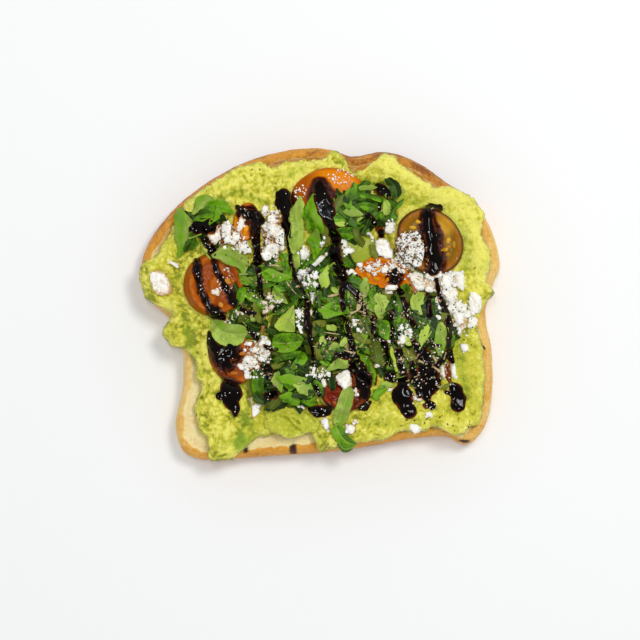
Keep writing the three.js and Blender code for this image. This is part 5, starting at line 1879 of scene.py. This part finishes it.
class TOAST_OT_seasoning(bpy.types.Operator):
    """Dried herb, salt and pepper over everything"""

    bl_idname = "toast.seasoning"
    bl_label = "Seasoning"

    def execute(self, context):
        settings = context.scene.toast_seasoning
        herb, salt, pepper = Batch(), Batch(), Batch()
        for number, (colour, half, spots) in enumerate(STRAWS):
            add_strip(herb, spots, half, 600 + number, warm=0.85 if colour != "tan" else 0.0)
        luck = np.random.default_rng(11)
        for _ in range(int(STUCK_SALT * settings.amount)):
            line = GLAZE_LINES[luck.integers(len(GLAZE_LINES))]
            step = luck.integers(len(line) - 1)
            here, there = np.array(line[step:step + 2])
            x, y, wide = here + luck.uniform() * (there - here)
            x, y = (x, y) + luck.uniform(-0.8, 0.8, 2) * wide
            add_grain(salt, x, y, luck.uniform(0.09, 0.2), luck.uniform(0, math.pi), luck)
        for kind, number, spot, half in STREWN:
            for x, y in heap_places(luck, spot, half, 0, int(number * settings.amount)):
                turn = luck.uniform(0, math.pi)
                if kind == "flake":
                    length = luck.uniform(0.2, 0.7) ** 1.2
                    way = np.array([math.cos(turn), math.sin(turn)]) * length
                    spots = [(x - way[0], y - way[1]), (x + way[0], y + way[1])]
                    add_strip(herb, spots, luck.uniform(0.1, 0.26), int(luck.integers(1, 10**6)),
                              warm=float(luck.uniform(0, 0.5) * (luck.uniform() < 0.25)),
                              green=float(luck.uniform() < 0.35))
                    continue
                size = luck.uniform(0.09, 0.29) if kind == "salt" else luck.uniform(0.12, 0.26)
                add_grain(salt if kind == "salt" else pepper, x, y, size, turn, luck)
        herb.build("dried_herb", "seasoning", [],
                   seasoning_material("dried_herb", settings.straw, tint(164, 142, 96), 0.75))
        salt.build("salt", "seasoning", [],
                   seasoning_material("salt", tint(250, 248, 242), tint(236, 230, 220), 0.4))
        pepper.build("pepper", "seasoning", [],
                     seasoning_material("pepper", tint(40, 28, 20), tint(78, 56, 36), 0.7))
        return {"FINISHED"}


def add_strip(batch, spots, half, seed, **masks):
    """A dry curled strip lying on the relief."""
    middle = smooth_line(spots, 5 if len(spots) > 2 else 3)
    _, right = line_ways(middle)
    v = np.array([-1, 0, 1])
    steps = np.array([[seed, step] for step in range(len(middle))])
    wide = half * (0.25 + 1.1 * lattice(steps, 71))
    plan = middle[:, None] + right[:, None] * (v[None, :] * wide[:, None])[..., None]
    height = relief.at(plan[..., 0], plan[..., 1])
    height = np.maximum(height, np.maximum(blurred(height, 3), height.max() - 0.5 - 0.2 * half))
    height = height + 0.1 + 0.25 * half * v**2
    height = np.minimum(height + 0.08 * swell(plan, 1, seed), LEAF_CAP + 0.2)
    net = np.dstack([plan, height])
    step = net_normals(net) * 0.07
    batch.add_sheet(net + step, net - step, **masks)


def add_grain(batch, x, y, size, turn, luck):
    """A small rough block."""
    corners = np.array([(-1, -1), (1, -1), (1, 1), (-1, 1)]) * size
    height = min(float(relief.at(x, y)) - 0.1 * size, LEAF_CAP)
    rings = []
    for level, reach in ((0, 0.8), (0.5, 1), (1.1, 1), (1.5, 0.7)):
        flat = corners * reach * luck.uniform(0.75, 1.1, (4, 2))
        rings.append(np.column_stack([*turned(x, y, *flat.T, turn),
                                      np.full(4, height + level * size)]))
    batch.add_rings(np.array(rings), warm=0.0, green=0.0)


# ---------------------------------------------------------------- stage


class StageSettings(bpy.types.PropertyGroup):
    camera_height: FloatProperty(name="Camera height", description="Height of the camera",
                                 unit="LENGTH", min=0.2, default=1.0)
    field: FloatProperty(name="Field", description="Width that the camera takes in over the toast",
                         unit="LENGTH", min=0.05, default=0.2176)
    floor: colour_setting("Floor", "Plain pale floor", (0.88, 0.88, 0.88))
    light: FloatProperty(name="Light", description="Strength of the lamps", min=0, default=1.0)


# Where the camera and the lamps point, in plan millimetres.
LOOK_AT = (0.17, -5.1, 12.0)
FLOOR_HALF = 3.0
SENSOR_WIDTH = 36
# Lamps: place, width, height, power, colour.
LAMPS = [
    ((0.3, 0.3, 1.05), 0.24, 0.24, 4.8, (1, 0.985, 0.96)),
    ((-0.06, 0.13, 1.2), 0.045, 0.34, 3.0, (0.84, 0.94, 1)),
]
# Light of the sky straight above, and what the horizon adds to it.
WORLD_ZENITH = 0.33
WORLD_HORIZON = 0.46


class TOAST_OT_stage(bpy.types.Operator):
    """Plain pale floor, soft studio light and the camera straight above"""

    bl_idname = "toast.stage"
    bl_label = "Stage"

    def execute(self, context):
        settings = context.scene.toast_stage
        mesh = bpy.data.meshes.new("floor")
        corners = [(-1, -1, 0), (1, -1, 0), (1, 1, 0), (-1, 1, 0)]
        mesh.from_pydata(np.multiply(corners, FLOOR_HALF).tolist(), [], [(0, 1, 2, 3)])
        material, graph, _ = new_material("floor")
        finish_shader(graph, Base_Color=settings.floor, Roughness=0.6)
        mesh.materials.append(material)
        floor = bpy.data.objects.new("floor", mesh)
        context.scene.collection.objects.link(floor)
        target = Vector(to_frame(LOOK_AT))
        for number, (place, width, height, power, colour) in enumerate(LAMPS):
            lamp = bpy.data.lights.new(f"lamp_{number}", "AREA")
            lamp.shape = "RECTANGLE"
            lamp.size, lamp.size_y = width, height
            lamp.energy, lamp.color = power * settings.light, colour
            holder = bpy.data.objects.new(lamp.name, lamp)
            holder.location = place
            holder.rotation_euler = (target - holder.location).to_track_quat("-Z", "Y").to_euler()
            context.scene.collection.objects.link(holder)
        world = bpy.data.worlds.new("studio")
        world.use_nodes = True
        sky = Graph(world.node_tree)
        way = sky.add("ShaderNodeTexCoord").outputs["Generated"]
        up = sky.add("ShaderNodeSeparateXYZ", {0: way}).outputs["Z"]
        level = sky.math("SUBTRACT", 1.0, sky.math("MULTIPLY", up, up))
        strength = sky.math("MULTIPLY_ADD", level, WORLD_HORIZON, WORLD_ZENITH)
        backdrop = world.node_tree.nodes["Background"].inputs
        sky.feed(backdrop["Color"], (1, 1, 1))
        sky.feed(backdrop["Strength"], strength)
        context.scene.world = world
        context.scene.view_settings.view_transform = "Standard"
        lens = bpy.data.cameras.new("camera")
        lens.sensor_width = SENSOR_WIDTH
        lens.lens = SENSOR_WIDTH * (settings.camera_height - LOOK_AT[2] * MM) / settings.field
        camera = bpy.data.objects.new("camera", lens)
        camera.location = (target.x, target.y, settings.camera_height)
        context.scene.collection.objects.link(camera)
        context.scene.camera = camera
        return {"FINISHED"}


# ---------------------------------------------------------------- panel and registration

SETTINGS = [
    ("toast_bread", BreadSettings),
    ("toast_mash", MashSettings),
    ("toast_tomatoes", TomatoSettings),
    ("toast_basil", BasilSettings),
    ("toast_feta", FetaSettings),
    ("toast_glaze", GlazeSettings),
    ("toast_seasoning", SeasoningSettings),
    ("toast_stage", StageSettings),
]
OPERATORS = [TOAST_OT_bread, TOAST_OT_mash, TOAST_OT_slab, TOAST_OT_tomatoes, TOAST_OT_basil,
             TOAST_OT_feta, TOAST_OT_glaze, TOAST_OT_seasoning, TOAST_OT_stage]


class TOAST_PT_panel(bpy.types.Panel):
    """Lists the pieces of the toast with their sizes and colours"""

    bl_idname = "TOAST_PT_panel"
    bl_label = "Avocado Toast"
    bl_space_type = "VIEW_3D"
    bl_region_type = "UI"
    bl_category = "Toast"

    def draw(self, context):
        for operator in OPERATORS:
            self.layout.operator(operator.bl_idname)
        for name, group in SETTINGS:
            box = self.layout.box()
            for key in group.__annotations__:
                box.prop(getattr(context.scene, name), key)


CLASSES = [group for _, group in SETTINGS] + OPERATORS + [TOAST_PT_panel]


def register():
    for item in CLASSES:
        bpy.utils.register_class(item)
    for name, group in SETTINGS:
        setattr(bpy.types.Scene, name, PointerProperty(type=group))


def unregister():
    for name, _ in SETTINGS:
        delattr(bpy.types.Scene, name)
    for item in reversed(CLASSES):
        bpy.utils.unregister_class(item)


def main():
    register()
    for operator in OPERATORS:
        group, _, name = operator.bl_idname.partition(".")
        getattr(getattr(bpy.ops, group), name)()


if __name__ == "__main__":
    main()
